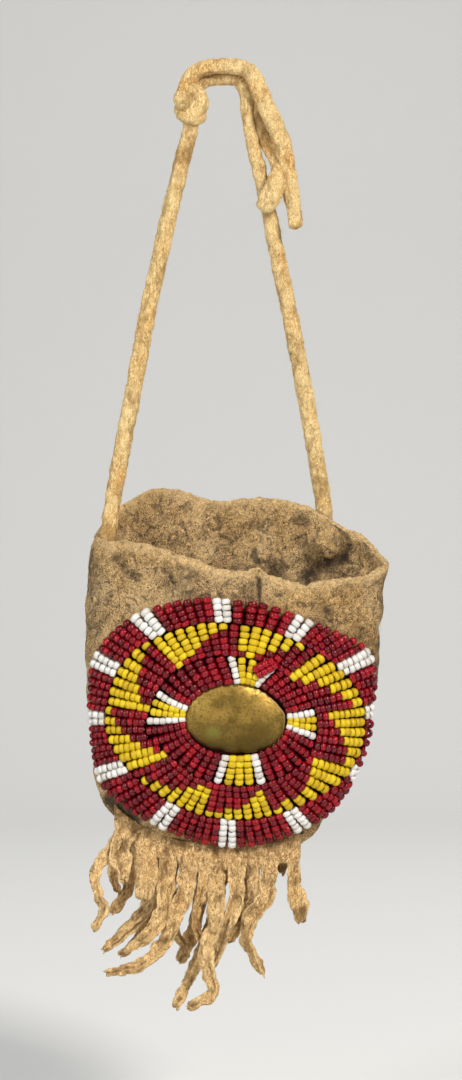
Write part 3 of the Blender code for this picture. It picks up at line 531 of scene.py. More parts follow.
def wallPoint(angle, z, inset=0.0):
    angle, z = np.broadcast_arrays(np.asarray(angle, dtype=float), np.asarray(z, dtype=float))
    middle, halfWidth, front, back = sectionAt(z)
    facing = np.cos(angle)
    x = middle + (halfWidth - inset) * np.sin(angle)
    depth = np.where(facing > 0, front, back) - inset
    y = -depth * facing - foldDepth(angle, x, z) * np.where(facing > 0, 1.0, -1.0)
    return np.stack([x, y, z], axis=-1)


def wallNormal(angle, z):
    across = wallPoint(angle + 0.01, z) - wallPoint(angle - 0.01, z)
    up = wallPoint(angle, z + 0.2) - wallPoint(angle, z - 0.2)
    return unit(np.cross(across, up))


def creaseDepth(points):
    # How far the creases press the front in at each point
    total = np.zeros(len(points))
    for x1, z1, x2, z2, halfWidth, depth in pouch["creases"]:
        start, along = np.array([x1, z1]), np.array([x2 - x1, z2 - z1])
        offset = points[:, (0, 2)] - start
        share = np.clip(offset @ along / (along @ along), 0.0, 1.0)
        away = np.linalg.norm(offset - share[:, None] * along, axis=1)
        total += depth * np.exp(-(away / halfWidth) ** 2) * (1.0 - 0.6 * share)
    return total * (points[:, 1] < 0)


# Tubes, strips and fibres of hide

def squareFrame(ahead, out):
    # The ways across and out that stand square to the way ahead
    out = unit(out - ahead * np.sum(out * ahead, axis=1)[:, None])
    return np.cross(ahead, out), out


def awayFrom(path, points, around):
    # The way out from the path of a tube at each of its points, and none at its two hubs
    outward = unit(points - np.vstack([np.repeat(path, around, axis=0), path[0], path[-1]]))
    outward[-2:] = 0.0
    return outward


def roundedEnd(fromEnd, reach, least):
    # How full a strip is at a distance from its rounded end
    return math.sqrt(max(1.0 - (1.0 - min(fromEnd / reach, 1.0)) ** 2, least))


def ringTube(rings):
    # Points and faces of a tube through rings of points, with a hub point at each closed end
    count = len(rings[0])
    points = np.vstack(list(rings) + [rings[0].mean(axis=0), rings[-1].mean(axis=0)])
    faces = gridFaces(len(rings), count)
    last = (len(rings) - 1) * count
    hub = last + count
    for side in range(count):
        faces.append(((side + 1) % count, side, hub))
    for side in range(count):
        faces.append((last + side, last + (side + 1) % count, hub + 1))
    return points, faces


def tubeMasks(masks):
    # The masks of a tube's rings as values for its points, the two hubs included
    return {name: np.append(np.concatenate(values), (values[0][0], values[-1][0]))
            for name, values in masks.items()}


# Hairs: how they stray and bend, how pale they are, and their rings (share of length and width)
fibre = {"stray": 0.35, "bend": 0.35, "edge": 0.8, "rings": ((-0.15, 1.0), (0.35, 0.8), (0.75, 0.5))}


def makeFibres(name, roots, directions, lengths, radius, material, seed):
    # Fine tapered hairs that stand off a surface, each a closed thin cone that bends a little
    pick = np.random.default_rng(seed)
    corners = 3
    points, faces = [], []
    for root, direction, length in zip(roots, directions, lengths):
        direction = unit(direction + pick.normal(0.0, fibre["stray"], 3))
        bend = pick.normal(0.0, fibre["bend"], 3)
        side = unit(np.cross(direction, (0.31, 0.52, 0.79)))
        other = np.cross(direction, side)
        start = len(points)
        for share, width in fibre["rings"]:
            centre = root + (direction + bend * share * share) * length * share
            points += ringAbout(centre, side, other, radius * width, corners)
        points.append(root + (direction + bend) * length)
        faces += shifted([(2, 1, 0)] + gridFaces(3, corners) + [(6, 7, 9), (7, 8, 9), (8, 6, 9)], start)
    count = len(points)
    return makePiece(name, points, faces, material,
                     {"soil": np.zeros(count), "edge": np.full(count, fibre["edge"])})


# Thong: route points in millimetres down the middle of the lace

thong = {
    "spacing": 0.4, "around": 26, "hole": (25.6, -114.4), "seat": 0.3, "radius": 1.7,
    "endRound": 1.2, "grooveWidth": 0.28, "lumps": 0.12,
    "fuzzToPoint": 4.5, "fuzzLength": 0.19, "fuzzRadius": 0.035,
    # size and share of the broad and fine lumps, and size and depth of soil and of ageing
    "broadLumps": (2.4, 1.4), "fineLumps": (0.7, 1.1), "soil": (6.0, 0.5), "ageing": (9.0, 0.8),
    "leftLeg": ((-29.6, -1.9, -115.2), (-29.2, -1.6, -111.4), (-28.6, -0.3, -106.6),
                (-27.2, 0.6, -98.0), (-25.4, 0.8, -88.0), (-23.4, 0.8, -78.0),
                (-21.6, 0.8, -68.0), (-19.8, 0.6, -58.0), (-17.6, 0.5, -48.0),
                (-15.4, 0.4, -38.0), (-13.3, 0.2, -29.0), (-11.4, 0.1, -21.0),
                (-9.8, 0.0, -14.6), (-9.1, 0.0, -12.0), (-8.8, -0.1, -9.8), (-8.7, -0.1, -8.4)),
    "rightTop": ((-8.2, 0.2, -4.6), (-8.0, 0.3, -2.8), (-7.3, 0.4, -0.9), (-5.8, 0.6, 0.5),
                 (-3.2, 0.8, 1.3), (1.5, 0.9, 1.4), (3.7, 0.9, 0.5), (4.9, 0.8, -2.6),
                 (5.4, 0.6, -7.3), (6.4, 0.5, -13.5), (8.0, 0.6, -20.3), (9.6, 0.9, -27.0),
                 (11.3, 1.6, -34.5), (13.2, 2.8, -44.0), (15.8, 4.4, -56.0), (18.4, 6.0, -69.0),
                 (20.5, 7.7, -80.0), (22.4, 9.5, -90.5), (24.0, 11.3, -100.0)),
    "longTail": ((-11.0, -1.5, -4.2), (-10.7, -1.5, -2.2), (-9.6, -1.3, 0.2), (-7.6, -1.5, 2.6),
                 (-4.2, -1.5, 3.9), (0.5, -1.5, 4.2), (4.0, -1.6, 3.8), (6.6, -1.7, 1.9),
                 (8.3, -1.9, -1.8), (10.9, -2.2, -8.0), (13.6, -2.4, -14.0), (15.1, -2.4, -20.3),
                 (16.1, -2.3, -26.5), (17.0, -2.1, -32.3), (17.4, -2.0, -36.6)),
    "shortTail": ((6.6, 1.7, -3.4), (8.4, 1.3, -8.2), (10.9, 0.5, -13.6), (13.0, -0.9, -18.6),
                  (13.6, -2.3, -22.2), (12.2, -3.4, -26.4), (10.3, -3.6, -30.0), (9.1, -3.5, -32.4)),
}


def angleBehind(x, z):
    middle, halfWidth, _, _ = sectionAt(z)
    return math.pi - math.asin(min(max((x - middle) / halfWidth, -1.0), 1.0))


def rightLegRoute():
    hole = wallPoint(angleBehind(*thong["hole"]), thong["hole"][1])
    behind = hole[1] + thong["seat"] + thong["radius"]
    inside = hole[1] - pouch["wall"] - thong["seat"]
    start = [(hole[0], inside, hole[2]), (hole[0], hole[1] - pouch["wall"] / 2, hole[2]),
             (hole[0], hole[1] + thong["radius"] / 2, hole[2] + 0.3),
             (hole[0] - 0.1, behind + 0.5, hole[2] + 2.4),
             (hole[0] - 0.4, behind + 0.6, hole[2] + 7.0)]
    return start + list(reversed(thong["rightTop"]))


# Each lace: its node in the part, its route, the widths along it, how flat it is at both ends,
# its grooves (place round it and depth), twist, dark spots of painted shade and stain (centre,
# reach and depth), far end and thickness in metres
laces = {
    "left_leg_lace": {
        "node": "thong_left_leg", "route": thong["leftLeg"], "widths": (4.0, 4.2, 4.1, 4.1, 4.2, 4.0),
        "flatness": (0.8, 0.85), "grooves": ((0.18, 0.16),), "twist": 0.3,
        # dark spots: an orange stain with painted shade at the foot, and painted shade under the knot
        "darkSpots": (((-29.5, -2.0, -114.0), 4.2, 0.8), ((-11.3, 0.1, -19.5), 7.0, 0.5)),
        "farEnd": "object", "thickness": 0.0039, "seed": 21},
    "right_leg_lace": {
        "node": "thong_right_leg", "route": rightLegRoute(),
        "widths": (3.2, 4.2, 4.2, 4.2, 4.1, 4.0, 3.7, 3.4, 3.2, 3.2), "flatness": (0.8, 0.85),
        "grooves": ((0.7, 0.2), (0.84, 0.16)), "twist": 0.05, "darkSpots": (),
        "farEnd": "object", "thickness": 0.0037, "seed": 31},
    "long_tail_lace": {
        "node": "thong_long_tail", "route": thong["longTail"],
        "widths": (3.4, 3.8, 3.9, 4.0, 4.4, 4.6, 4.4, 4.2, 4.0, 3.6), "flatness": (0.85, 0.7),
        "grooves": ((0.7, 0.14),), "twist": 0.2, "darkSpots": (),
        "farEnd": "bare", "thickness": 0.0039, "seed": 41},
    "short_tail_lace": {
        "node": "thong_short_tail", "route": thong["shortTail"],
        "widths": (3.4, 5.0, 6.0, 5.4, 4.8, 5.2, 5.4, 4.4), "flatness": (0.55, 0.6),
        # dark spot: painted shade behind the long tail
        "grooves": ((0.7, 0.25), (0.82, 0.2)), "twist": 0.1, "darkSpots": (((9.5, 0.5, -10.0), 6.0, 0.9),),
        "farEnd": "bare", "thickness": 0.0045, "seed": 51},
}


def near(points, centre, reach):
    # 1 at a centre, which falls off softly over the reach
    return np.exp(-(np.linalg.norm(points - centre, axis=1) / reach) ** 2)


def buildLace(name, lace):
    # A rolled lace with grooves where its edges meet, and the nap that stands off it
    seed, around, lumps = lace["seed"], thong["around"], thong["lumps"]
    path = evenRoute(lace["route"], thong["spacing"])
    across, out = squareFrame(unit(np.gradient(path, axis=0)), (0.0, -1.0, 0.0))
    share = np.linspace(0.0, 1.0, len(path))
    width = readAlong(share, lace["widths"]) / 2
    length = np.arange(len(path)) * thong["spacing"]
    turns = evenAngles(around)
    flatStart, flatEnd = lace["flatness"]
    rings = []
    for index in range(len(path)):
        fromEnd = min(length[index], length[-1] - length[index])
        cap = roundedEnd(fromEnd, thong["endRound"], 0.02)
        radius = np.ones(around)
        for place, depth in lace["grooves"]:
            away = np.angle(np.exp(1j * (turns - 2 * math.pi * (place + lace["twist"] * share[index]))))
            radius -= depth * np.exp(-(away / thong["grooveWidth"]) ** 2)
        flat = flatStart + (flatEnd - flatStart) * share[index]
        local = np.outer(np.cos(turns), across[index]) + np.outer(np.sin(turns) * flat, out[index])
        rings.append(path[index] + local * (radius * width[index] * cap)[:, None])
    points, faces = ringTube(rings)
    outward = awayFrom(path, points, around)
    (broadSize, broad), (fineSize, fine) = thong["broadLumps"], thong["fineLumps"]
    bumps = softNoise(points, broadSize, seed) * lumps * broad
    bumps += softNoise(points * (1.0, 1.0, 0.5), fineSize, seed + 1, 2) * lumps * fine
    points = points + outward * bumps[:, None]
    (soilSize, soilDepth), (ageSize, ageDepth) = thong["soil"], thong["ageing"]
    # soil noise, with painted shade in the hollows between the lumps
    soil = np.clip(softNoise(points, soilSize, seed + 2, 2) * soilDepth - bumps * 1.5, 0.0, 1.0)
    # dark spots: painted shade under the knot and behind the long tail, and an orange stain with painted
    # shade at the left leg's foot
    for centre, reach, depth in lace["darkSpots"]:
        soil = np.clip(soil + depth * near(points, centre, reach), 0.0, 1.0)
    aged = np.clip(softNoise(points, ageSize, seed + 3, 2) * ageDepth + 0.15
                   + near(points, path[0], 4.5) + near(points, path[-1], 1.8), 0.0, 0.9)
    # the edge mask here is a painted highlight on the raised lumps
    piece = makePiece(name, points, faces, thongSkin,
                      {"soil": soil, "edge": np.clip(bumps * 3.0, 0.0, 0.7), "aged": aged})
    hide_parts(lace["node"])
    pick = np.random.default_rng(seed)
    count = int(len(path) * thong["fuzzToPoint"])
    chosen = pick.integers(0, len(points) - 2, count)
    fuzz = makeFibres(name + "_fuzz", points[chosen], outward[chosen],
                      pick.gamma(2.0, thong["fuzzLength"], count) + 0.15, thong["fuzzRadius"],
                      thongSkin, seed)
    return piece, path, fuzz


knot = {
    # a turn of lace round the right and the bottom of the bump, a turn round the neck and one
    # behind, each as its points and half thickness
    "wraps": ((((-9.4, -0.6, -1.2), (-7.2, -1.4, -1.6), (-5.9, -1.6, -3.6), (-6.4, -1.7, -6.2),
                (-8.0, -1.7, -8.6), (-10.0, -1.5, -8.9), (-11.4, -0.9, -7.0), (-11.4, 0.0, -4.0),
                (-10.6, 0.2, -1.8)), 1.5),
              (((-11.2, 0.3, -7.6), (-10.0, -1.6, -8.6), (-8.0, -2.0, -9.2), (-6.4, -0.6, -8.8),
                (-6.2, 1.0, -8.0), (-8.0, 2.2, -7.6), (-10.4, 1.8, -7.4)), 1.35),
              (((-10.6, 1.6, -3.4), (-8.6, 1.7, -1.6), (-6.4, 1.4, -2.4), (-5.6, 1.2, -5.0),
                (-7.0, 1.5, -7.6), (-9.8, 1.7, -7.2), (-11.2, 1.6, -5.2)), 1.5)),
    # rounded lumps of the knot, each with its half sizes
    "lumps": (((-10.8, -2.6, -4.2), (2.3, 2.1, 2.4)), ((-8.6, -0.6, -5.4), (2.8, 2.2, 3.7)),
              ((-8.8, -1.6, -2.6), (1.8, 1.6, 1.7)), ((-8.5, -1.5, -8.6), (2.3, 1.9, 1.9)),
              ((-6.6, -1.5, -4.2), (1.9, 1.7, 2.9))),
    "steps": 9, "around": 20, "flatness": 0.86,
    # the stopper: how far its middle lies from the end of the leg, and its half sizes
    "stopperOffset": (0.2, -2.3, -0.3), "stopperHalf": (3.7, 2.4, 3.8),
}


def lumpyBall(centre, half, rows=30, columns=44, wind=0.0):
    points = []
    for row in range(rows):
        lift = math.pi * (row + 0.5) / rows
        for turn in evenAngles(columns):
            direction = np.array([math.sin(lift) * math.cos(turn), -math.cos(lift),
                                  math.sin(lift) * math.sin(turn)])
            swell = 1.0 + math.sin(turn * 2 + lift * 3.0) * wind
            points.append(centre + direction * half * swell)
    points, faces = ringTube(np.array(points).reshape(rows, columns, 3))
    return points, faces, unit(points - centre)


def wrapShell(route, thick):
    # A turn of lace that closes on itself
    count, around, steps = len(route), knot["around"], knot["steps"]
    loop = smoothRoute(list(route) + list(route[:3]), steps)
    path = loop[steps:steps * (count + 1)]
    ahead = unit(np.roll(path, -1, axis=0) - np.roll(path, 1, axis=0))
    across, out = squareFrame(ahead, path - path.mean(axis=0))
    turns = evenAngles(around)
    rings = [path[index] + (np.outer(np.cos(turns) * knot["flatness"], out[index])
                            + np.outer(np.sin(turns), across[index])) * thick
             for index in range(len(path))]
    faces = gridFaces(len(path), around)
    last = (len(path) - 1) * around
    for side in range(around):
        after = (side + 1) % around
        faces.append((last + side, last + after, after, side))
    points = np.vstack(rings)
    return points, faces, unit(points - np.repeat(path, around, axis=0))


def buildKnot():
    shells = [wrapShell(route, thick) for route, thick in knot["wraps"]]
    shells += [lumpyBall(np.array(centre), half) for centre, half in knot["lumps"]]
    points, faces = joinShells([shell[:2] for shell in shells])
    outward = np.vstack([shell[2] for shell in shells])
    bumps = softNoise(points, 2.2, 61) * 0.2 + softNoise(points, 0.8, 62, 2) * 0.12
    points = points + outward * bumps[:, None]
    # soil noise with painted shade in the hollows, and a painted highlight on the raised lumps through
    # the edge mask
    piece = makePiece("thong_knot_wraps", points, faces, thongSkin,
                      {"soil": np.clip(0.1 + softNoise(points, 4.0, 63) * 0.5 - bumps, 0.0, 1.0),
                       "edge": np.clip(bumps * 3.0, 0.0, 0.7)})
    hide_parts("thong_knot")
    return piece


def buildStopper(path):
    # The knot that stops the right leg inside the mouth: a flat lump of the same dirty hide, with painted
    # shade on its right side
    centre = path[0] + knot["stopperOffset"]
    points, faces, outward = lumpyBall(centre, knot["stopperHalf"], 44, 64, 0.05)
    bumps = softNoise(points, 2.2, 71, 2) * 0.3 + softNoise(points, 0.8, 73) * 0.1
    points = points + outward * bumps[:, None]
    # soil noise, and painted shade that darkens the knot towards its right side
    soil = 0.05 + softNoise(points, 2.5, 72) * 0.4 + (points[:, 0] - centre[0]) * 0.1
    piece = makePiece("stopper_knot_ball", points, faces, hideSkin,
                      {"soil": np.clip(soil, 0.0, 1.0), "edge": np.full(len(points), 0.25),
                       "aged": np.full(len(points), 0.5)})
    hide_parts("thong_stopper_knot")
    return piece


built = {name: buildLace(name, lace) for name, lace in laces.items()}
({"left_leg_lace": [buildKnot()],
                     "right_leg_lace": [buildStopper(built["right_leg_lace"][1])]})
print("thong is made")


# Beadwork

rosette = {
    "centre": (1.5, -159.4), "conchoCentre": (2.5, -157.9),
    "rimOval": (36.0, 30.9), "outerOval": (29.5, 25.3), "middleOval": (19.8, 17.0),
    "innerOval": (12.3, 8.7),
    # how full the three outer ovals are drawn at each turn
    "rimFullness": ((-60.0, 1.02), (-33.0, 1.08), (-14.0, 1.04), (0.0, 1.0), (20.0, 0.99),
                    (40.0, 0.985), (52.0, 1.015), (90.0, 1.0), (135.0, 0.945), (150.0, 0.965),
                    (180.0, 0.985), (212.0, 0.95), (244.0, 0.965), (270.0, 1.0), (300.0, 1.02),
                    (327.0, 1.08), (346.0, 1.04), (360.0, 1.0)),
    "outerFullness": ((-45.0, 1.05), (-20.0, 1.03), (0.0, 0.99), (45.0, 0.97), (90.0, 0.985),
                      (118.0, 0.99), (155.0, 0.94), (180.0, 0.91), (205.0, 0.9), (240.0, 0.91),
                      (270.0, 0.97), (285.0, 0.98), (315.0, 1.05), (340.0, 1.03), (360.0, 0.99)),
    "middleFullness": ((-45.0, 1.04), (-20.0, 1.03), (0.0, 1.0), (45.0, 0.98), (90.0, 0.99),
                       (118.0, 1.0), (155.0, 0.9), (180.0, 0.85), (205.0, 0.84), (240.0, 0.87),
                       (265.0, 1.03), (281.0, 1.0), (315.0, 1.04), (340.0, 1.03), (360.0, 1.0)),
    "innerFullness": ((-45.0, 1.0), (360.0, 1.0)),
    "spreadFrom": 0.35, "spreadTo": 0.85, "spreadLeft": 0.1, "spreadRight": 0.155,
    "wrapStart": 0.55, "wrapReach": 0.24,
    "beadAcross": 2.0, "beadAlong": 1.46, "hole": 0.5, "seat": 0.3, "hump": 0.35, "beadSides": (14, 10),
    "leastAcross": 1.8, "mostAcross": 2.5, "mostAlong": 1.15, "lookAhead": 0.3,
    "rowEnds": (0.02, 0.98), "rowSamples": 13,
    # how far a row strays, and how its beads vary in place, lean, width and length
    "rowShift": 0.06, "beadShift": 0.05, "beadLean": 0.07, "widthVaries": 0.035, "lengthVaries": 0.03,
    # turns of the white bars round the outer lane, and the red rows after each
    "whiteBars": (-4.0, 29.8, 56.5, 83.5, 115.5, 150.3, 182.0, 212.0, 244.0, 273.0, 301.0, 326.0),
    "barAngle": 7.8,
    "redRows": (5, 6, 4, 5, 7, 6, 6, 6, 6, 5, 5, 6),
    # each yellow triangle of the middle lane: its first turn and the yellow beads in its rows
    "triangles": ((-38.7, (6, 5, 5, 4, 3, 2, 1, 0)), (3.6, (4, 5, 4, 3, 2, 1, 0)),
                  (43.8, (7, 6, 5, 4, 3, 2)), (80.0, (7, 6, 5, 4, 3, 2)),
                  (115.5, (7, 6, 4, 3, 2, 2, 1)), (158.0, (5, 4, 3, 2, 2, 1, 1)),
                  (195.5, (5, 5, 4, 3, 2, 2, 1, 0)), (240.6, (7, 6, 5, 4, 3, 2, 1)),
                  (281.0, (7, 6, 5, 4, 3, 2, 1))),
    # each motif round the concho: first and last row's turns outside and inside, its yellow
    # rows and the red rows up to the next
    "motifs": (((-1.3, 2.0), (31.7, 23.0), 3, 6), ((78.5, 84.0), (98.8, 98.2), 2, 6),
               ((156.0, 159.5), (193.0, 191.2), 3, 8), ((273.9, 272.0), (297.7, 287.8), 2, 7)),
    # beads that stand up loose above the north motif: along, z, height and lean; then how long,
    # wide and light in tone they are
    "looseBunch": ((7.2, -145.4, 2.5, 40.0), (8.3, -144.7, 2.9, 35.0), (9.5, -144.0, 3.1, 30.0),
                   (10.8, -143.5, 2.9, 25.0), (8.1, -146.7, 2.4, 40.0), (9.3, -146.0, 2.8, 35.0),
                   (10.5, -145.3, 2.9, 30.0), (11.6, -144.6, 2.6, 25.0)),
    "looseBead": (1.5, 1.95, 1.0),
    "seed": 11,
}
chance = np.random.default_rng(rosette["seed"])


def spreadOut(across):
    share = abs(across) / rosette["rimOval"][0]
    rise = min(max((share - rosette["spreadFrom"])
                   / (rosette["spreadTo"] - rosette["spreadFrom"]), 0.0), 1.0)
    most = rosette["spreadLeft"] if across < 0.0 else rosette["spreadRight"]
    return across * (1.0 + most * rise * rise * (3.0 - 2.0 * rise))


def frontAngle(reach, z):
    _, halfWidth, front, _ = sectionAt(z)
    steps = np.linspace(0.0, math.pi * 0.75, 136)
    speed = np.hypot(halfWidth * np.cos(steps), front * np.sin(steps))
    length = np.concatenate(([0.0], np.cumsum((speed[1:] + speed[:-1]) / 2 * np.diff(steps))))
    start = float(np.interp(math.pi / 2, steps, length)) - rosette["wrapStart"] * front
    distance = abs(reach)
    if distance > start:
        reachOn = rosette["wrapReach"] * front
        distance = start + reachOn * (1 - math.exp(-(distance - start) / reachOn))
    return math.copysign(float(np.interp(distance, length, steps)), reach)


def hidePoint(along, z, height):
    # A point over the front and the way out from it, measured along the hide from the line x = 0
    angle = frontAngle(along - sectionAt(z)[0], z)
    outward = wallNormal(angle, z)
    return wallPoint(angle, z) + outward * height, outward


def lanePlane(lane, turn, share):
    (outer, outerCentre, outerFullness), (inner, innerCentre, innerFullness) = lane
    outerFull = float(smoothTable(rosette[outerFullness], turn[0]))
    innerFull = float(smoothTable(rosette[innerFullness], turn[1]))
    half = np.array(outer) * (1 - share) * outerFull + np.array(inner) * share * innerFull
    centre = np.array(outerCentre) * (1 - share) + np.array(innerCentre) * share
    angle = math.radians(turn[0] + (turn[1] - turn[0]) * share)
    return (centre[0] + spreadOut(half[0] * math.sin(angle)), centre[1] + half[1] * math.cos(angle))


def evenTurns(first, last, rows):
    # The middle turn of each of a number of rows between two turns
    first, last = np.array(first), np.array(last)
    return [tuple(first + (last - first) * (row + 0.5) / rows) for row in range(rows)]


def beadShape():
    # One bead of unit size: its hole lies along x, and it is 1 long and 1 across
    around, profile = rosette["beadSides"]
    half = 0.5
    hole = rosette["hole"] / rosette["beadAcross"] / 2
    points = []
    for turn in evenAngles(profile):
        cosine, sine = math.cos(turn), math.sin(turn)
        x = half * math.copysign(abs(cosine) ** 0.88, cosine)
        radius = (half + hole) / 2 + (half - hole) / 2 * math.copysign(abs(sine) ** 0.92, sine)
        for angle in evenAngles(around):
            points.append((x, radius * math.cos(angle), radius * math.sin(angle)))
    faces = []
    for step in range(profile):
        for side in range(around):
            after, ahead = (side + 1) % around, (step + 1) % profile
            faces.append((step * around + side, ahead * around + side, ahead * around + after,
                          step * around + after))
    return np.array(points), np.array(faces)


beadPoints, beadFaces = beadShape()


class BeadHeap:
    # Beads of one colour and lane, gathered into one piece
    def __init__(self, *details):
        self.name, self.material, self.slot, self.nodes = details
        self.points, self.tones = [], []

    def add(self, place, axis, outward, along, across, tone):
        side = unit(np.cross(axis, outward))
        up = np.cross(side, axis)
        turn = np.stack([axis, side, up])
        self.points.append(place + (beadPoints * (along, across, across)) @ turn)
        self.tones.append(np.full(len(beadPoints), tone))

    def finish(self):
        count = len(beadPoints)
        faces = np.vstack([beadFaces + count * index for index in range(len(self.points))])
        piece = makePiece(self.name, np.vstack(self.points), faces.tolist(), self.material,
                          {"tone": np.concatenate(self.tones)})
        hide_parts(*self.nodes)


threadRoutes = []


def layRow(lane, turn, spacing, pick):
    # Strings a row of beads from the outside of the lane inwards; pick gives the heap for a bead
    steps = np.linspace(*rosette["rowEnds"], rosette["rowSamples"])
    height = rosette["seat"] + rosette["beadAcross"] / 2
    places, outs = [], []
    for share in steps:
        lift = rosette["hump"] * math.sin(math.pi * share)
        place, outward = hidePoint(*lanePlane(lane, turn, share), height + lift)
        places.append(place)
        outs.append(outward)
    places, outs = np.array(places), np.array(outs)
    length = lengthAlong(places)
    total = length[-1]
    beads = max(int(round(total / rosette["beadAlong"])), 2)
    pitch = total / beads
    nextRow = lanePlane(lane, (turn[0] + spacing[0], turn[1] + spacing[1]), 0.5)
    gap = math.dist(lanePlane(lane, turn, 0.5), nextRow)
    across = min(max(gap, rosette["leastAcross"]), rosette["mostAcross"])
    shift = chance.normal(0.0, 1.0, 3) * rosette["rowShift"]
    threadRoutes.append(places[::3])

    def along(values, at):
        return np.array([np.interp(at, length, values[:, axis]) for axis in range(3)])

    for bead in range(beads):
        at = (bead + 0.5) * pitch
        ahead = (along(places, min(at + rosette["lookAhead"], total))
                 - along(places, max(at - rosette["lookAhead"], 0.0)))
        outward = unit(along(outs, at))
        axis = unit(unit(ahead) + chance.normal(0.0, rosette["beadLean"], 3))
        size = 1.0 + chance.normal(0.0, rosette["widthVaries"])
        place = along(places, at) + shift + chance.normal(0.0, rosette["beadShift"], 3)
        long = (min(pitch, rosette["beadAlong"] * rosette["mostAlong"])
                * (1.0 + chance.normal(0.0, rosette["lengthVaries"])))
        pick(bead).add(place, axis, outward, long, across * size, chance.random())


def nodesNamed(*starts):
    return [name for name in frame["nodes"] if name.startswith(starts)]


def buildOuterLane():
    lane = ((rosette["rimOval"], rosette["centre"], "rimFullness"),
            (rosette["outerOval"], rosette["centre"], "outerFullness"))
    red = BeadHeap("rim_red_beads", redGlass, "red_beads", nodesNamed("red_rim"))
    white = BeadHeap("rim_white_beads", whiteGlass, "white_beads", nodesNamed("white_bar"))
    bars = rosette["whiteBars"]
    half = rosette["barAngle"] / 2
    for index, start in enumerate(bars):
        for turn in evenTurns((start - half,) * 2, (start + half,) * 2, 2):
            layRow(lane, turn, (half,) * 2, lambda bead: white)
        following = bars[index + 1] if index + 1 < len(bars) else bars[0] + 360.0
        rows = rosette["redRows"][index]
        spacing = ((following - start - 2 * half) / rows,) * 2
        for turn in evenTurns((start + half,) * 2, (following - half,) * 2, rows):
            layRow(lane, turn, spacing, lambda bead: red)
    red.finish()
    white.finish()


def buildMiddleLane():
    lane = ((rosette["outerOval"], rosette["centre"], "outerFullness"),
            (rosette["middleOval"], rosette["centre"], "middleFullness"))
    red = BeadHeap("middle_red_beads", redGlass, "red_beads", ["red_middle"])
    yellow = BeadHeap("triangle_yellow_beads", yellowGlass, "yellow_beads",
                      nodesNamed("yellow_triangle"))
    triangles = rosette["triangles"]
    for index, (start, counts) in enumerate(triangles):
        following = triangles[index + 1][0] if index + 1 < len(triangles) else triangles[0][0] + 360
        turns = evenTurns((start,) * 2, (following,) * 2, len(counts))
        spacing = ((following - start) / len(counts),) * 2
        for turn, count in zip(turns, counts):
            layRow(lane, turn, spacing, lambda bead: yellow if bead < count else red)
    red.finish()
    yellow.finish()


def buildInnerLane():
    lane = ((rosette["middleOval"], rosette["centre"], "middleFullness"),
            (rosette["innerOval"], rosette["conchoCentre"], "innerFullness"))
    red = BeadHeap("inner_red_beads", redGlass, "red_beads", nodesNamed("red_inner"))
    white = BeadHeap("motif_white_beads", whiteGlass, "white_beads",
                     [name for name in nodesNamed("motif") if "white" in name])
    yellow = BeadHeap("motif_yellow_beads", yellowGlass, "yellow_beads",
                      [name for name in nodesNamed("motif") if "yellow" in name])
    motifs = rosette["motifs"]
    for index, (first, last, yellowRows, redRows) in enumerate(motifs):
        first, last = np.array(first), np.array(last)
        step = (last - first) / (yellowRows + 1)
        for row in range(yellowRows + 2):
            heap = white if row in (0, yellowRows + 1) else yellow
            layRow(lane, tuple(first + step * row), tuple(step), lambda bead: heap)
        following = np.array(motifs[(index + 1) % len(motifs)][0])
        if index + 1 == len(motifs):
            following = following + 360.0
        gap = (following - last) / (redRows + 1)
        for row in range(redRows):
            layRow(lane, tuple(last + gap * (row + 1)), tuple(gap), lambda bead: red)
    for along, z, height, lean in rosette["looseBunch"]:
        place, outward = hidePoint(along, z, height)
        axis = unit(np.array([math.cos(math.radians(lean)), -0.1, math.sin(math.radians(lean))]))
        red.add(place, axis, outward, *rosette["looseBead"])
    red.finish()
    white.finish()
    yellow.finish()


buildOuterLane()
buildMiddleLane()
buildInnerLane()
print("beads are strung:", len(threadRoutes), "rows")


# Pouch

def underBeads(points):
    # 1 beneath the rosette and 0 away from it, with a soft edge: it calms the lumps there and paints the
    # shade between the bead rows
    (middleX, middleZ), (halfX, halfZ) = rosette["centre"], np.array(rosette["rimOval"]) - 0.8
    reach = np.hypot((points[:, 0] - middleX) / halfX, (points[:, 2] - middleZ) / halfZ)
    return np.clip((1.0 - reach) * 14.0, 0.0, 1.0) * (points[:, 1] < 0)


def outerForm(points, z, rim, beads):
    # How far the outside stands off its plain wall, and how deep its creases are
    def lumps(name, stretch, seed, detail=1):
        return softNoise(points * (1.0, 1.0, stretch), pouch[name][0], seed, detail) * pouch[name][1]

    bottom = pouch["bottomZ"]
    total = (lumps("lumps", 1.0, 1, 2) * np.clip((rim - z) / pouch["plainBand"], 0.0, 1.0)
             * (1.0 - beads * 0.8))
    total += lumps("fineLumps", 1.0, 2, 2) * (1.0 - beads * 0.5)
    total += lumps("drawn", 0.22, 7) * np.exp(-(rim - z) / pouch["drawn"][2])
    total += lumps("puckers", 0.2, 9) * np.exp(-(z - bottom) / pouch["puckers"][2])
    pressed = creaseDepth(points)
    return (total - pressed) * np.clip((z - bottom) / 4.0, 0.3, 1.0), pressed


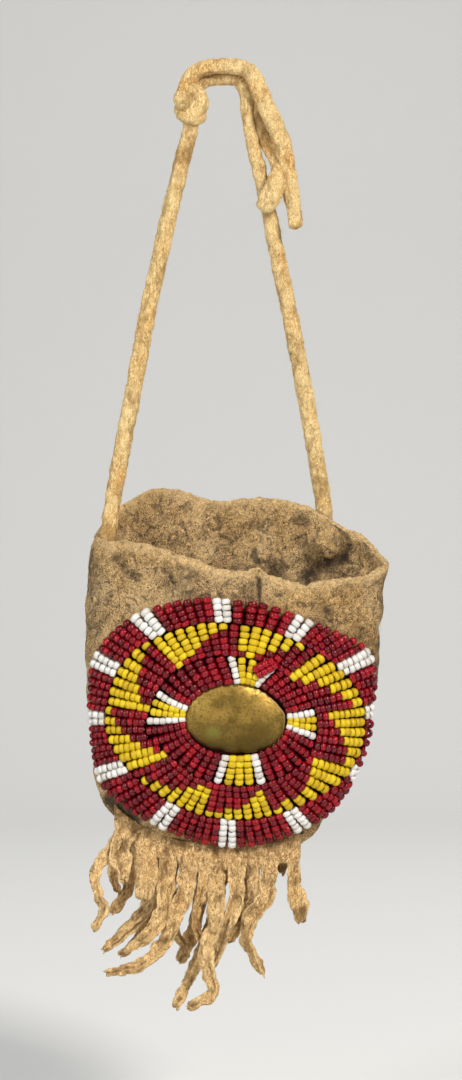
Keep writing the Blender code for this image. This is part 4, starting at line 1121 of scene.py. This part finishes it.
def outerSoilAndShade(points, z, rim, pressed):
    # Soil on the outside, with painted shade round the hole and in the pressed creases
    x, behind = points[:, 0], points[:, 1] > 0
    smudgeX, smudgeZ, halfX, halfZ, strength = pouch["smudge"]
    dirtAndShade = np.exp(-((x - smudgeX) / halfX) ** 2 - ((z - smudgeZ) / halfZ) ** 2) * strength
    # painted shade round the hole at the back
    holeReach, holeStrength = pouch["holeShade"]
    besideHole = np.hypot(x - thong["hole"][0], z - thong["hole"][1] + 0.4)
    dirtAndShade += np.exp(-(besideHole / holeReach) ** 2) * behind * holeStrength
    # painted shade in the pressed creases
    dirtAndShade += np.clip(pressed * 2.6, 0.0, 1.2)
    # darker towards the right side
    sideFrom, sideOver, sideStrength = pouch["sideDarkening"]
    dirtAndShade += np.clip((x - sideFrom) / sideOver, 0.0, 1.0) * sideStrength
    # darker on the back, and patches of soil
    dirtAndShade += behind * 0.15 + np.clip(softNoise(points, 12.0, 11, 2), 0.0, 1.0) * 0.6
    return dirtAndShade * (1.0 - np.exp(-((rim - z) / 1.8) ** 2))


def innerShadeAndStains(points, z, level, stain):
    # Painted shadow of the knot beside it, painted shade that deepens down the inside, and stains
    shade = pouch["knotShade"]
    fromKnot = np.hypot(points[:, 0] - shade["centre"][0], z - shade["centre"][1])
    besideKnot = (np.exp(-((fromKnot - shade["reach"]) / shade["width"]) ** 2)
                  * np.clip((points[:, 0] - shade["from"]) / 3.0, 0.0, 1.0))
    deep = np.clip((pouch["deepFrom"] - z) / 5.0, 0.0, 1.0) * 0.6
    return np.clip(level * 1.1 + stain * 0.8 + deep + besideKnot - 0.2, 0.0, 1.1)


def buildPouch():
    columns, bottom, wall = pouch["columns"], pouch["bottomZ"], pouch["wall"]
    angles = -math.pi / 2 + evenAngles(columns)
    ringShape = np.column_stack([np.sin(angles) * 60, np.cos(angles) * 25, np.zeros(columns)])
    rim = rimHeight(angles) + softNoise(ringShape, 5.0, 3, 2) * pouch["rimWaver"]
    rings, masks = [], {"soil": [], "edge": [], "aged": [], "under": []}

    def addRing(points, soil, edge, aged, under=0.0):
        rings.append(points)
        for values, value in zip(masks.values(), (soil, edge, aged, under)):
            values.append(np.broadcast_to(value, columns))

    for level in np.linspace(1.0, 0.0, pouch["outerRings"]) ** pouch["levelPower"]:
        z = rim + (bottom - rim) * level
        points = wallPoint(angles, z)
        beads = underBeads(points)
        form, pressed = outerForm(points, z, rim, beads)
        # pale cut edge along the rim, partly a painted highlight on the rolled rim, and painted light
        # that brightens the seam crease at the bottom
        edge = np.maximum(np.exp(-((rim - z) / 2.0) ** 2), np.exp(-((z - bottom) / 3.0) ** 2) * 0.6)
        aged = softNoise(points, 14.0, 12, 2) * 0.9 + 0.1 + np.exp(-(rim - z) / 2.0) * 1.3
        # the beads mask also serves as the under mask, which paints the shade between the bead rows
        addRing(points + wallNormal(angles, z) * form[:, None], outerSoilAndShade(points, z, rim, pressed),
                edge, np.clip(aged, 0.0, 0.95), beads)
    # over the cut edge, pale, partly as a painted highlight on the rolled rim
    for step in range(1, pouch["rimSteps"]):
        turn = math.pi * step / pouch["rimSteps"]
        inset = wall / 2 * (1.0 - math.cos(turn))
        points = wallPoint(angles, rim, inset) + (0.0, 0.0, wall * 0.3 * math.sin(turn))
        addRing(points + softNoise(points, 1.1, 4, 2)[:, None] * (0.12, 0.12, 0.2), 0.0, 0.8, 0.9)
    # down the inside, and across the floor
    floor = pouch["floorLevel"]
    for level in np.linspace(0.0, floor - 0.05, pouch["innerRings"]):
        z = rim + (bottom - rim) * level
        points = wallPoint(angles, z, wall)
        (size, height), (fineSize, fineHeight) = pouch["innerLumps"], pouch["innerFine"]
        lumps = softNoise(points, size, 5, 2) * height * np.clip(level * 8, 0.0, 1.0)
        lumps += softNoise(points * (1.0, 1.0, 0.4), fineSize, 6) * fineHeight
        stain = softNoise(points, 7.0, 8, 3) * 0.75
        # the edge mask pales the cut edge just inside the rim, partly as a painted highlight
        addRing(points + wallNormal(angles, z) * lumps[:, None], innerShadeAndStains(points, z, level, stain),
                math.exp(-level * 60.0), np.clip(0.45 - level * 2.0 + stain * 0.5, 0.0, 0.7))
    z = rim + (bottom - rim) * floor
    middle, halfWidth, _, _ = sectionAt(z)
    across = halfWidth - wall - pouch["floorNarrowing"]
    # the floor inside is painted in full shade
    addRing(np.column_stack([middle + across * np.sin(angles),
                             -pouch["floorHalfDepth"] * np.cos(angles), z]), 1.0, 0.0, 0.0)
    points, faces = ringTube(rings)
    piece = makePiece("hide_pouch", points, faces, hideSkin, tubeMasks(masks))
    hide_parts("bag_body")


buildPouch()
print("pouch is made")


# Concho

concho = {"centre": (2.5, -158.6), "rise": 2.9, "lift": 0.4, "rings": 70, "segments": 160,
          "dent": 0.06, "rolledEdge": ((1.006, 0.2), (1.0, 0.04), (0.985, 0.0)),
          # it is nearer than the hide, so it is drawn this much smaller and higher
          "nearer": 0.965, "raised": 1.05,
          # outline as seen, x and z in millimetres, clockwise from its left corner
          "outline": ((-9.2, -154.2), (-8.5, -153.2), (-5.7, -151.5), (-3.0, -150.3),
                      (0.3, -149.8), (3.8, -149.8), (7.5, -151.0), (11.0, -153.3),
                      (13.5, -155.8), (14.8, -157.5), (14.5, -162.2), (12.5, -165.2),
                      (8.5, -167.0), (3.8, -167.3), (-1.0, -166.8), (-5.8, -165.5),
                      (-8.5, -163.5), (-10.0, -161.8), (-10.3, -159.2), (-9.8, -156.5))}


def brassMaterial():
    material, tree, shader = startMaterial("agedBrass")
    place = addNode(tree, "ShaderNodeTexCoord").outputs["Object"]
    broad = addNoise(tree, place, 260.0, 4.0, 0.6)
    specks = addNoise(tree, place, 1500.0, 5.0, 0.7)
    fine = addNoise(tree, place, 3800.0, 3.0, 0.6)
    colour = addMix(tree, addRange(tree, broad, 0.38, 0.62), (0.22, 0.14, 0.028, 1.0),
                    (0.42, 0.265, 0.062, 1.0))
    spots = multiply(tree, addRange(tree, specks, 0.5, 0.64), 0.8)
    # painted shade: the lower half of the dome is darkened
    lowerShade = multiply(tree, readMask(tree, "lowerShade"), 0.8)
    green = multiply(tree, readMask(tree, "verdigris"), addRange(tree, specks, 0.35, 0.6))
    # the rimHighlight tint is a painted highlight on the rolled rim
    for share, tint in ((spots, (0.07, 0.044, 0.011, 1.0)), (lowerShade, (0.085, 0.055, 0.012, 1.0)),
                        (green, (0.22, 0.24, 0.05, 1.0)),
                        (readMask(tree, "rimHighlight"), (0.62, 0.42, 0.2, 1.0))):
        colour = addMix(tree, share, colour, tint)
    tree.links.new(addRange(tree, specks, 0.5, 0.7, 0.95, 0.55), shader["Metallic"])
    height = addMath(tree, "ADD", multiply(tree, broad, 1.5), fine)
    finishShader(tree, shader, colour, addRange(tree, specks, 0.35, 0.7, 0.42, 0.62), height, 0.25,
                 bumpDistance["brass"])
    return material


def domeHeight(share):
    # Height over the rim of the dome, at a share of the way out from its middle
    return concho["rise"] * (math.sqrt(max(1.0 - 0.93 * share ** 2.3, 0.0)) - math.sqrt(0.07))


def buildConcho():
    centre = np.array(concho["centre"])
    outline = (np.array(concho["outline"]) - centre) * concho["nearer"] + (0.0, concho["raised"])
    turns = np.unwrap(np.arctan2(outline[:, 0], outline[:, 1]))
    reach = np.linalg.norm(outline, axis=1)
    fullTurn = turns[0] + 2 * math.pi
    around = np.linspace(turns[0], fullTurn, concho["segments"], endpoint=False)
    reachAt = np.interp(around, np.append(turns, fullTurn), np.append(reach, reach[0]))
    middle, halfWidth, _, _ = sectionAt(centre[1])
    angle = math.asin((centre[0] - middle) / halfWidth)
    outward = wallNormal(angle, centre[1])
    base = wallPoint(angle, centre[1]) + outward * concho["lift"]
    right = unit(np.cross((0.0, 0.0, 1.0), outward))
    up = np.cross(outward, right)
    rings, masks = [], {"lowerShade": [], "verdigris": [], "rimHighlight": []}

    def addRing(share, height):
        x, z = np.sin(around) * reachAt * share, np.cos(around) * reachAt * share / up[2]
        flat = base + np.outer(x, right) + np.outer(z, up)
        wobble = softNoise(flat, 5.0, 81) * concho["dent"]
        rings.append(flat + outward * (height + wobble)[:, None])
        # painted shade, darker towards the bottom of the dome
        masks["lowerShade"].append(np.clip(-z / 8.0 + 0.3, 0.0, 1.0))
        masks["verdigris"].append(np.exp(-((x + 5.8) / 1.6) ** 2 - ((z + 2.2) / 1.3) ** 2))
        # painted highlight on the rolled rim, brightest at the upper right
        masks["rimHighlight"].append((share > 0.975) * np.clip(np.cos(around - 0.5) * 0.6 + 0.35, 0.15, 0.8))

    shares = np.sin(np.linspace(0.02, math.pi / 2, concho["rings"]))
    for share in shares:
        addRing(share, domeHeight(share) + 0.35)
    for share, height in concho["rolledEdge"]:
        addRing(share, height)
    # back inside the hollow dome
    for share in shares[::-4]:
        if share < 0.96:
            addRing(share, domeHeight(share) - 0.1)
    points, faces = ringTube(rings)
    piece = makePiece("brass_concho", points, [face[::-1] for face in faces], brassMaterial(),
                      tubeMasks(masks))
    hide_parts("concho")


buildConcho()
print("concho is made")


# Fringe: each strand's points (x, z), depths, widths and twist, and the seam that they hang from

fringe = {
    "strip": 1.3, "strand": 1.1, "bandHeight": 4.8, "leastWidth": 2.0, "clearance": 0.65,
    "hemHalfDepth": 1.2, "sideMargin": 0.65, "around": 28, "spacing": 0.42, "bandSpacing": 0.4,
    "endRound": 0.7, "raggedReach": 2.5, "fuzzCount": 800, "fuzzLength": 0.14, "fuzzRadius": 0.03,
    # least and most of what differs between strands: waves and degrees of sway, curl of the
    # edges, place and depth of the groove
    "waves": (3.0, 6.0), "sway": (8.0, 22.0), "curl": (0.08, 0.22), "groove": (-0.5, 0.5),
    "grooveDepth": (0.5, 0.9), "grooveWidth": 0.22,
    # how the top of the hem thins out: over what height, how much and how suddenly
    "hemTaper": (4.6, 0.97, 1.3),
    "seam": ((-27.8, -184.2), (-25.4, -186.8), (-21.0, -190.0), (-15.0, -192.6), (-7.0, -194.2),
             (1.0, -194.8), (9.0, -194.4), (14.0, -193.3), (18.8, -191.2)),
    "front": (
        (((-28.2, -190.5), (-31.2, -194.2), (-32.7, -198.0), (-31.5, -203.0), (-30.2, -205.6),
          (-31.6, -208.6), (-32.8, -211.4)), (-2.9, -3.4, -3.6, -3.2, -2.8, -2.6, -2.4),
         (3.4, 3.2, 2.8, 2.2, 2.6, 2.2, 1.2), 40.0),
        (((-26.2, -190.0), (-26.0, -194.5), (-25.2, -198.6)), (-3.2, -3.8, -4.0),
         (5.2, 4.6, 2.0), 0.0),
        (((-20.2, -193.0), (-20.0, -199.0), (-20.4, -203.2)), (-3.8, -4.8, -5.0),
         (7.2, 6.2, 3.8), 0.0),
        (((-14.4, -197.0), (-15.2, -202.0), (-15.8, -206.4), (-19.6, -212.0), (-24.8, -216.2)),
         (-3.8, -4.6, -5.2, -5.6, -5.4), (4.4, 4.0, 3.8, 3.2, 1.8), -10.0),
        (((-9.6, -197.5), (-10.6, -203.0), (-12.8, -208.6), (-15.4, -214.2), (-20.0, -218.8),
          (-25.0, -220.6), (-29.6, -221.6)), (-3.8, -4.6, -5.0, -5.0, -4.8, -4.4, -4.0),
         (4.4, 4.2, 3.8, 3.6, 3.2, 2.8, 1.4), 20.0),
        (((-5.4, -198.5), (-6.8, -204.0), (-8.0, -208.0), (-7.4, -211.0), (-6.2, -213.4)),
         (-3.2, -3.4, -3.2, -2.8, -2.6), (3.4, 3.0, 2.8, 2.4, 1.4), -30.0),
        (((-2.2, -199.5), (-2.4, -205.0), (-3.0, -210.0), (-4.8, -214.0), (-5.1, -218.0),
          (-4.0, -222.8), (-3.2, -226.0), (-6.0, -228.2), (-9.4, -229.4)),
         (-4.2, -5.2, -5.8, -6.2, -6.4, -6.2, -6.0, -6.0, -5.8),
         (4.4, 4.4, 4.2, 4.0, 3.8, 3.4, 3.0, 2.8, 1.6), 25.0),
        (((2.6, -199.0), (2.5, -203.5), (0.6, -208.8), (-1.4, -214.8), (-3.2, -219.8)),
         (-3.6, -4.0, -4.0, -3.6, -3.2), (3.8, 3.4, 3.0, 2.4, 1.4), 0.0),
        (((6.6, -199.0), (6.3, -203.0), (4.2, -207.6), (0.9, -214.6)),
         (-3.0, -2.8, -1.8, -1.0), (3.6, 3.2, 1.8, 1.2), 35.0),
        (((10.6, -198.0), (10.0, -203.0), (6.2, -208.2), (5.1, -213.0), (6.4, -216.6),
          (8.8, -221.8)), (-3.6, -4.2, -4.4, -4.2, -4.0, -3.8),
         (4.4, 4.4, 4.2, 3.6, 3.4, 2.0), 70.0),
        (((17.0, -196.0), (17.1, -200.8), (18.3, -205.0), (18.7, -209.0)),
         (-2.9, -3.0, -3.0, -2.8), (3.0, 3.6, 4.4, 3.2), 0.0)),
    "back": (
        (((-26.4, -190.5), (-28.4, -197.0), (-27.2, -202.4)), (2.4, 2.2, 2.0), (3.0, 2.8, 1.4), 0.0),
        (((-22.6, -194.0), (-25.0, -202.4), (-28.6, -207.6)), (3.4, 4.4, 4.6), (3.4, 3.2, 1.6), 0.0),
        (((-18.6, -197.0), (-19.6, -205.0), (-24.2, -211.2), (-30.2, -216.6)),
         (3.6, 2.0, 1.0, 0.8), (3.6, 3.6, 3.4, 1.8), 20.0),
        (((-14.0, -198.5), (-16.6, -206.5), (-21.0, -213.4), (-26.2, -218.6)),
         (3.8, 4.8, 5.0, 5.0), (3.4, 3.2, 2.8, 1.6), -20.0),
        (((-9.8, -199.5), (-13.2, -206.5), (-13.2, -211.0), (-10.6, -215.6)),
         (3.4, 2.0, 0.8, 0.8), (3.2, 2.8, 2.6, 1.6), 0.0),
        (((-6.0, -200.0), (-6.6, -206.0), (-8.4, -212.4), (-11.8, -220.0)),
         (3.8, 4.4, 4.2, 4.0), (3.4, 3.2, 3.4, 2.6), 20.0),
        (((-1.6, -200.5), (-3.6, -209.0), (-6.6, -217.8), (-8.2, -221.4), (-10.2, -225.6),
          (-12.4, -230.6)), (3.4, 1.6, 0.2, 0.0, -0.2, -0.4), (3.8, 3.6, 3.4, 3.2, 3.0, 2.0), -15.0),
        (((4.4, -199.5), (3.4, -206.0), (2.4, -211.0)), (3.4, 3.8, 3.8), (3.6, 3.2, 1.8), 0.0),
        (((13.8, -194.6), (13.9, -197.4)), (2.6, 2.4), (3.2, 2.2), 0.0)),
}


def hemDepth(x, z, behind):
    middle, halfWidth, front, back = sectionAt(np.maximum(z, pouch["bottomZ"]))
    share = np.clip((x - middle) / halfWidth, -1.0, 1.0)
    depth = back if behind else front
    return np.maximum(depth * np.sqrt(1.0 - share ** 2), fringe["hemHalfDepth"])


def strandPath(line, depths, widths, behind):
    # From the seam, which is met within its ends, down the strand's own points
    side = 1.0 if behind else -1.0
    seam, strip = fringe["seam"], fringe["strip"]
    margin = widths[0] / 2 + fringe["sideMargin"]
    rootX = min(max(line[0][0], seam[0][0] + margin), seam[-1][0] - margin)
    rootZ = float(smoothTable(seam, rootX)) + strip
    rootY = side * (float(hemDepth(rootX, rootZ, behind)) + fringe["clearance"] + strip / 2)
    route = [(rootX, rootY, rootZ)] + [(x, depth, z) for (x, z), depth in zip(line, depths)]
    return evenRoute(route, fringe["spacing"])


def strandSkin(line, depths, widths, twist, behind, seed):
    # One strand: a soft wrinkled strip whose edges curl, with a ragged end
    side, around = (1.0 if behind else -1.0), fringe["around"]
    path = strandPath(line, depths, widths, behind)
    share = np.linspace(0.0, 1.0, len(path))
    length = share * (len(path) - 1) * fringe["spacing"]
    pick = np.random.default_rng(seed)
    widths = (widths[0],) + tuple(widths)
    width = readAlong(share, widths)
    uneven = softNoise(np.outer(length, (1.0, 0.0, 0.0)), 4.0, seed, 2)
    width = np.maximum(width, fringe["leastWidth"]) * (1.0 + uneven * 0.15 * np.minimum(share * 3, 1.0))
    ahead = unit(np.gradient(path, axis=0))
    across = unit(np.array([1.0, 0.0, 0.0]) - ahead * ahead[:, :1])
    sway = np.sin(share * pick.uniform(*fringe["waves"]) + pick.uniform(0.0, 6.0))
    sway = sway * pick.uniform(*fringe["sway"])
    angle = np.radians(twist * share + sway * share)[:, None]
    turned = across * np.cos(angle) + np.cross(ahead, across) * np.sin(angle)
    normal = unit(np.cross(ahead, turned))
    curl = pick.choice((-1.0, 1.0)) * pick.uniform(*fringe["curl"])
    groove, grooveDepth = pick.uniform(*fringe["groove"]), pick.uniform(*fringe["grooveDepth"])
    turns = evenAngles(around)
    cosine, sine = np.cos(turns), np.sin(turns)
    # rounded towards a flat strip
    flatCosine = np.sign(cosine) * np.abs(cosine) ** 0.8
    flatSine = np.sign(sine) * np.abs(sine) ** 0.75
    ragged = softNoise(np.column_stack([flatCosine * 2.2, flatSine, turns * 0]), 0.9, seed + 5, 2) * 0.9
    rings = []
    for index in range(len(path)):
        fromEnd = length[-1] - length[index]
        cap = roundedEnd(fromEnd, fringe["endRound"], 0.05)
        formed = min(share[index] * 3, 1.0)
        sideways = flatCosine * width[index] / 2
        thick = flatSine * fringe["strand"] / 2 * min(1.0, 0.4 + width[index] / 4)
        bow = curl * sideways ** 2 * formed
        dent = np.exp(-((flatCosine - groove) / fringe["grooveWidth"]) ** 2)
        dent = grooveDepth * dent * formed * side
        reach = ragged * max(1.0 - fromEnd / fringe["raggedReach"], 0.0) ** 2
        rings.append(path[index] + np.outer(sideways * (0.4 + 0.6 * cap), turned[index])
                     + np.outer(thick * cap + bow + dent * np.abs(sine), normal[index])
                     + np.outer(reach, ahead[index]))
    points, faces = ringTube(rings)
    outward = awayFrom(path, points, around)
    # wrinkles drawn out along the strand
    drawn = np.column_stack([np.repeat(length, around) * 0.3, np.tile(flatCosine * 2.0, len(path)),
                             np.tile(flatSine, len(path))])
    drawn = np.vstack([drawn, np.zeros((2, 3))])
    bumps = softNoise(drawn, 0.8, seed + 3, 2) * 0.4 + softNoise(points, 2.6, seed, 2) * 0.25
    bumps += softNoise(points, 0.8, seed + 1) * 0.1
    points = points + outward * bumps[:, None]
    edge = np.append(np.tile(np.abs(cosine) ** 5, len(path)) * 0.75, (0.5, 0.8))
    # soil noise, with painted shade in the hollows of the wrinkles and on the back strands
    soil = softNoise(points, 5.0, seed + 2, 2) * 0.5 - bumps * 1.8 + (0.12 if behind else 0.0)
    lengthAt = np.append(np.repeat(length, around), (0.0, length[-1]))
    return points, faces, {"edge": edge, "soil": np.clip(soil, 0.0, 1.0),
                           "aged": np.clip(1.1 - lengthAt / 11.0, 0.0, 0.9)}, outward


def bandSkin(behind, seed):
    # The puckered hem that the strands are cut from, along the seam
    side = 1.0 if behind else -1.0
    seam, height, strip = fringe["seam"], fringe["bandHeight"], fringe["strip"]
    over, thinning, suddenness = fringe["hemTaper"]
    xs = np.arange(seam[0][0], seam[-1][0] + 0.01, fringe["bandSpacing"])
    # up the back face and down the outer one: how far up each point is, and 1 if it is outside
    profile = [(up, 0.0) for up in np.linspace(height, -strip, 9)]
    profile += [(up, 1.0) for up in np.linspace(-strip, height, 18)]
    rings = []
    for x, edge in zip(xs, smoothTable(seam, xs)):
        ring = []
        for up, outer in profile:
            thin = 1.0 - thinning * max(0.0, (up - height + over) / over) ** suddenness
            depth = float(hemDepth(x, edge + up, behind)) + (fringe["clearance"] + strip * outer) * thin
            ring.append((x, side * depth, edge + up))
        rings.append(np.array(ring))
    points, faces = ringTube(rings)
    bumps = (softNoise(points * (1.0, 1.0, 0.25), 1.6, seed, 2) * 0.34
             + softNoise(points, 0.8, seed + 1) * 0.1)
    upAt, outside = (np.append(np.tile(values, len(xs)), (0.0, 0.0)) for values in zip(*profile))
    points[:, 1] += side * bumps * outside
    points[:, 2] += softNoise(points, 2.0, seed + 4) * 0.45 * outside
    # soil noise, with painted shade in the hollows of the puckers, darker towards the top of the hem
    soil = np.clip(0.1 + softNoise(points, 6.0, seed + 2, 2) * 0.5 - bumps * 1.2
                   + np.clip((upAt - 1.0) / (height - 1.0), 0.0, 1.0) * 0.45, 0.0, 1.0)
    if behind:
        faces = [face[::-1] for face in faces]
    count = len(points)
    return points, faces, {"edge": np.zeros(count), "soil": soil, "aged": np.ones(count)}


def buildFringe(name, strands, behind, node, seed):
    skins = [bandSkin(behind, seed)]
    skins += [strandSkin(*strand, behind, seed + 10 + index * 7) for index, strand in enumerate(strands)]
    points, faces = joinShells([skin[:2] for skin in skins])
    masks = {mask: np.concatenate([skin[2][mask] for skin in skins]) for mask in skins[0][2]}
    piece = makePiece(name, points, faces, fringeSkin, masks)
    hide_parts(node)
    # the nap stands off the edges of the strands
    roots, outs = (np.vstack([skin[part][skin[2]["edge"] > 0.3] for skin in skins[1:]])
                   for part in (0, 3))
    pick = np.random.default_rng(seed)
    count = fringe["fuzzCount"]
    chosen = pick.integers(0, len(roots), count)
    makeFibres(name + "_fuzz", roots[chosen], outs[chosen],
               pick.gamma(2.0, fringe["fuzzLength"], count) + 0.1, fringe["fuzzRadius"], fringeSkin,
               seed)


buildFringe("front_fringe", fringe["front"], False, "fringe_front", 100)
buildFringe("back_fringe", fringe["back"], True, "fringe_back", 300)
print("fringe is made")


# Nap of the pouch and the sinew of the rows

nap = {"rimHairs": 1300, "sideHairs": 1100, "sideReach": 68.0, "lift": 0.25, "inset": 0.3,
       "length": 0.15, "radius": 0.03}
sinew = {"radius": 0.14, "around": 5}


def buildRimFuzz():
    # Nap that stands up from the cut edge of the mouth, and out from the sides
    pick = np.random.default_rng(5)
    angles = pick.uniform(-math.pi / 2, math.pi * 1.5, nap["rimHairs"])
    rim = rimHeight(angles)
    roots = wallPoint(angles, rim, pick.uniform(0.0, pouch["wall"], len(angles)))
    roots[:, 2] += nap["lift"]
    directions = np.column_stack([pick.normal(0.0, 0.5, len(angles)), pick.normal(0.0, 0.5, len(angles)),
                                  np.ones(len(angles))])
    count = nap["sideHairs"]
    sides = pick.choice((-0.5, 0.5), count) * math.pi + pick.normal(0.0, 0.1, count)
    heights = rimHeight(sides) - 1.0 - pick.uniform(0.0, nap["sideReach"], count)
    roots = np.vstack([roots, wallPoint(sides, heights, nap["inset"])])
    directions = np.vstack([directions, wallNormal(sides, heights) + (0.0, 0.0, -0.3)])
    makeFibres("rim_fuzz", roots, directions, pick.gamma(2.0, nap["length"], len(roots)) + 0.1,
               nap["radius"], hideSkin, 6)


def buildThreads():
    # Sinew that runs through each row of beads
    around = sinew["around"]
    points, faces = [], []
    for route in threadRoutes:
        ahead = unit(np.gradient(route, axis=0))
        side = unit(np.cross(ahead, (0.0, 1.0, 0.0)))
        other = np.cross(ahead, side)
        last = (len(route) - 1) * around
        ends = [tuple(reversed(range(around))), tuple(range(last, last + around))]
        faces += shifted(gridFaces(len(route), around) + ends, len(points))
        for index in range(len(route)):
            points += ringAbout(route[index], side[index], other[index], sinew["radius"], around)
    makePiece("row_sinew", points, faces, fringeSkin,
              {"soil": np.full(len(points), 0.3), "edge": np.zeros(len(points))})


buildRimFuzz()
buildThreads()
print("nap and sinew are made")

triangles = sum(len(face.vertices) - 2 for piece in bpy.data.objects if piece.type == "MESH"
                for face in piece.data.polygons)
print("triangles in all:", triangles)
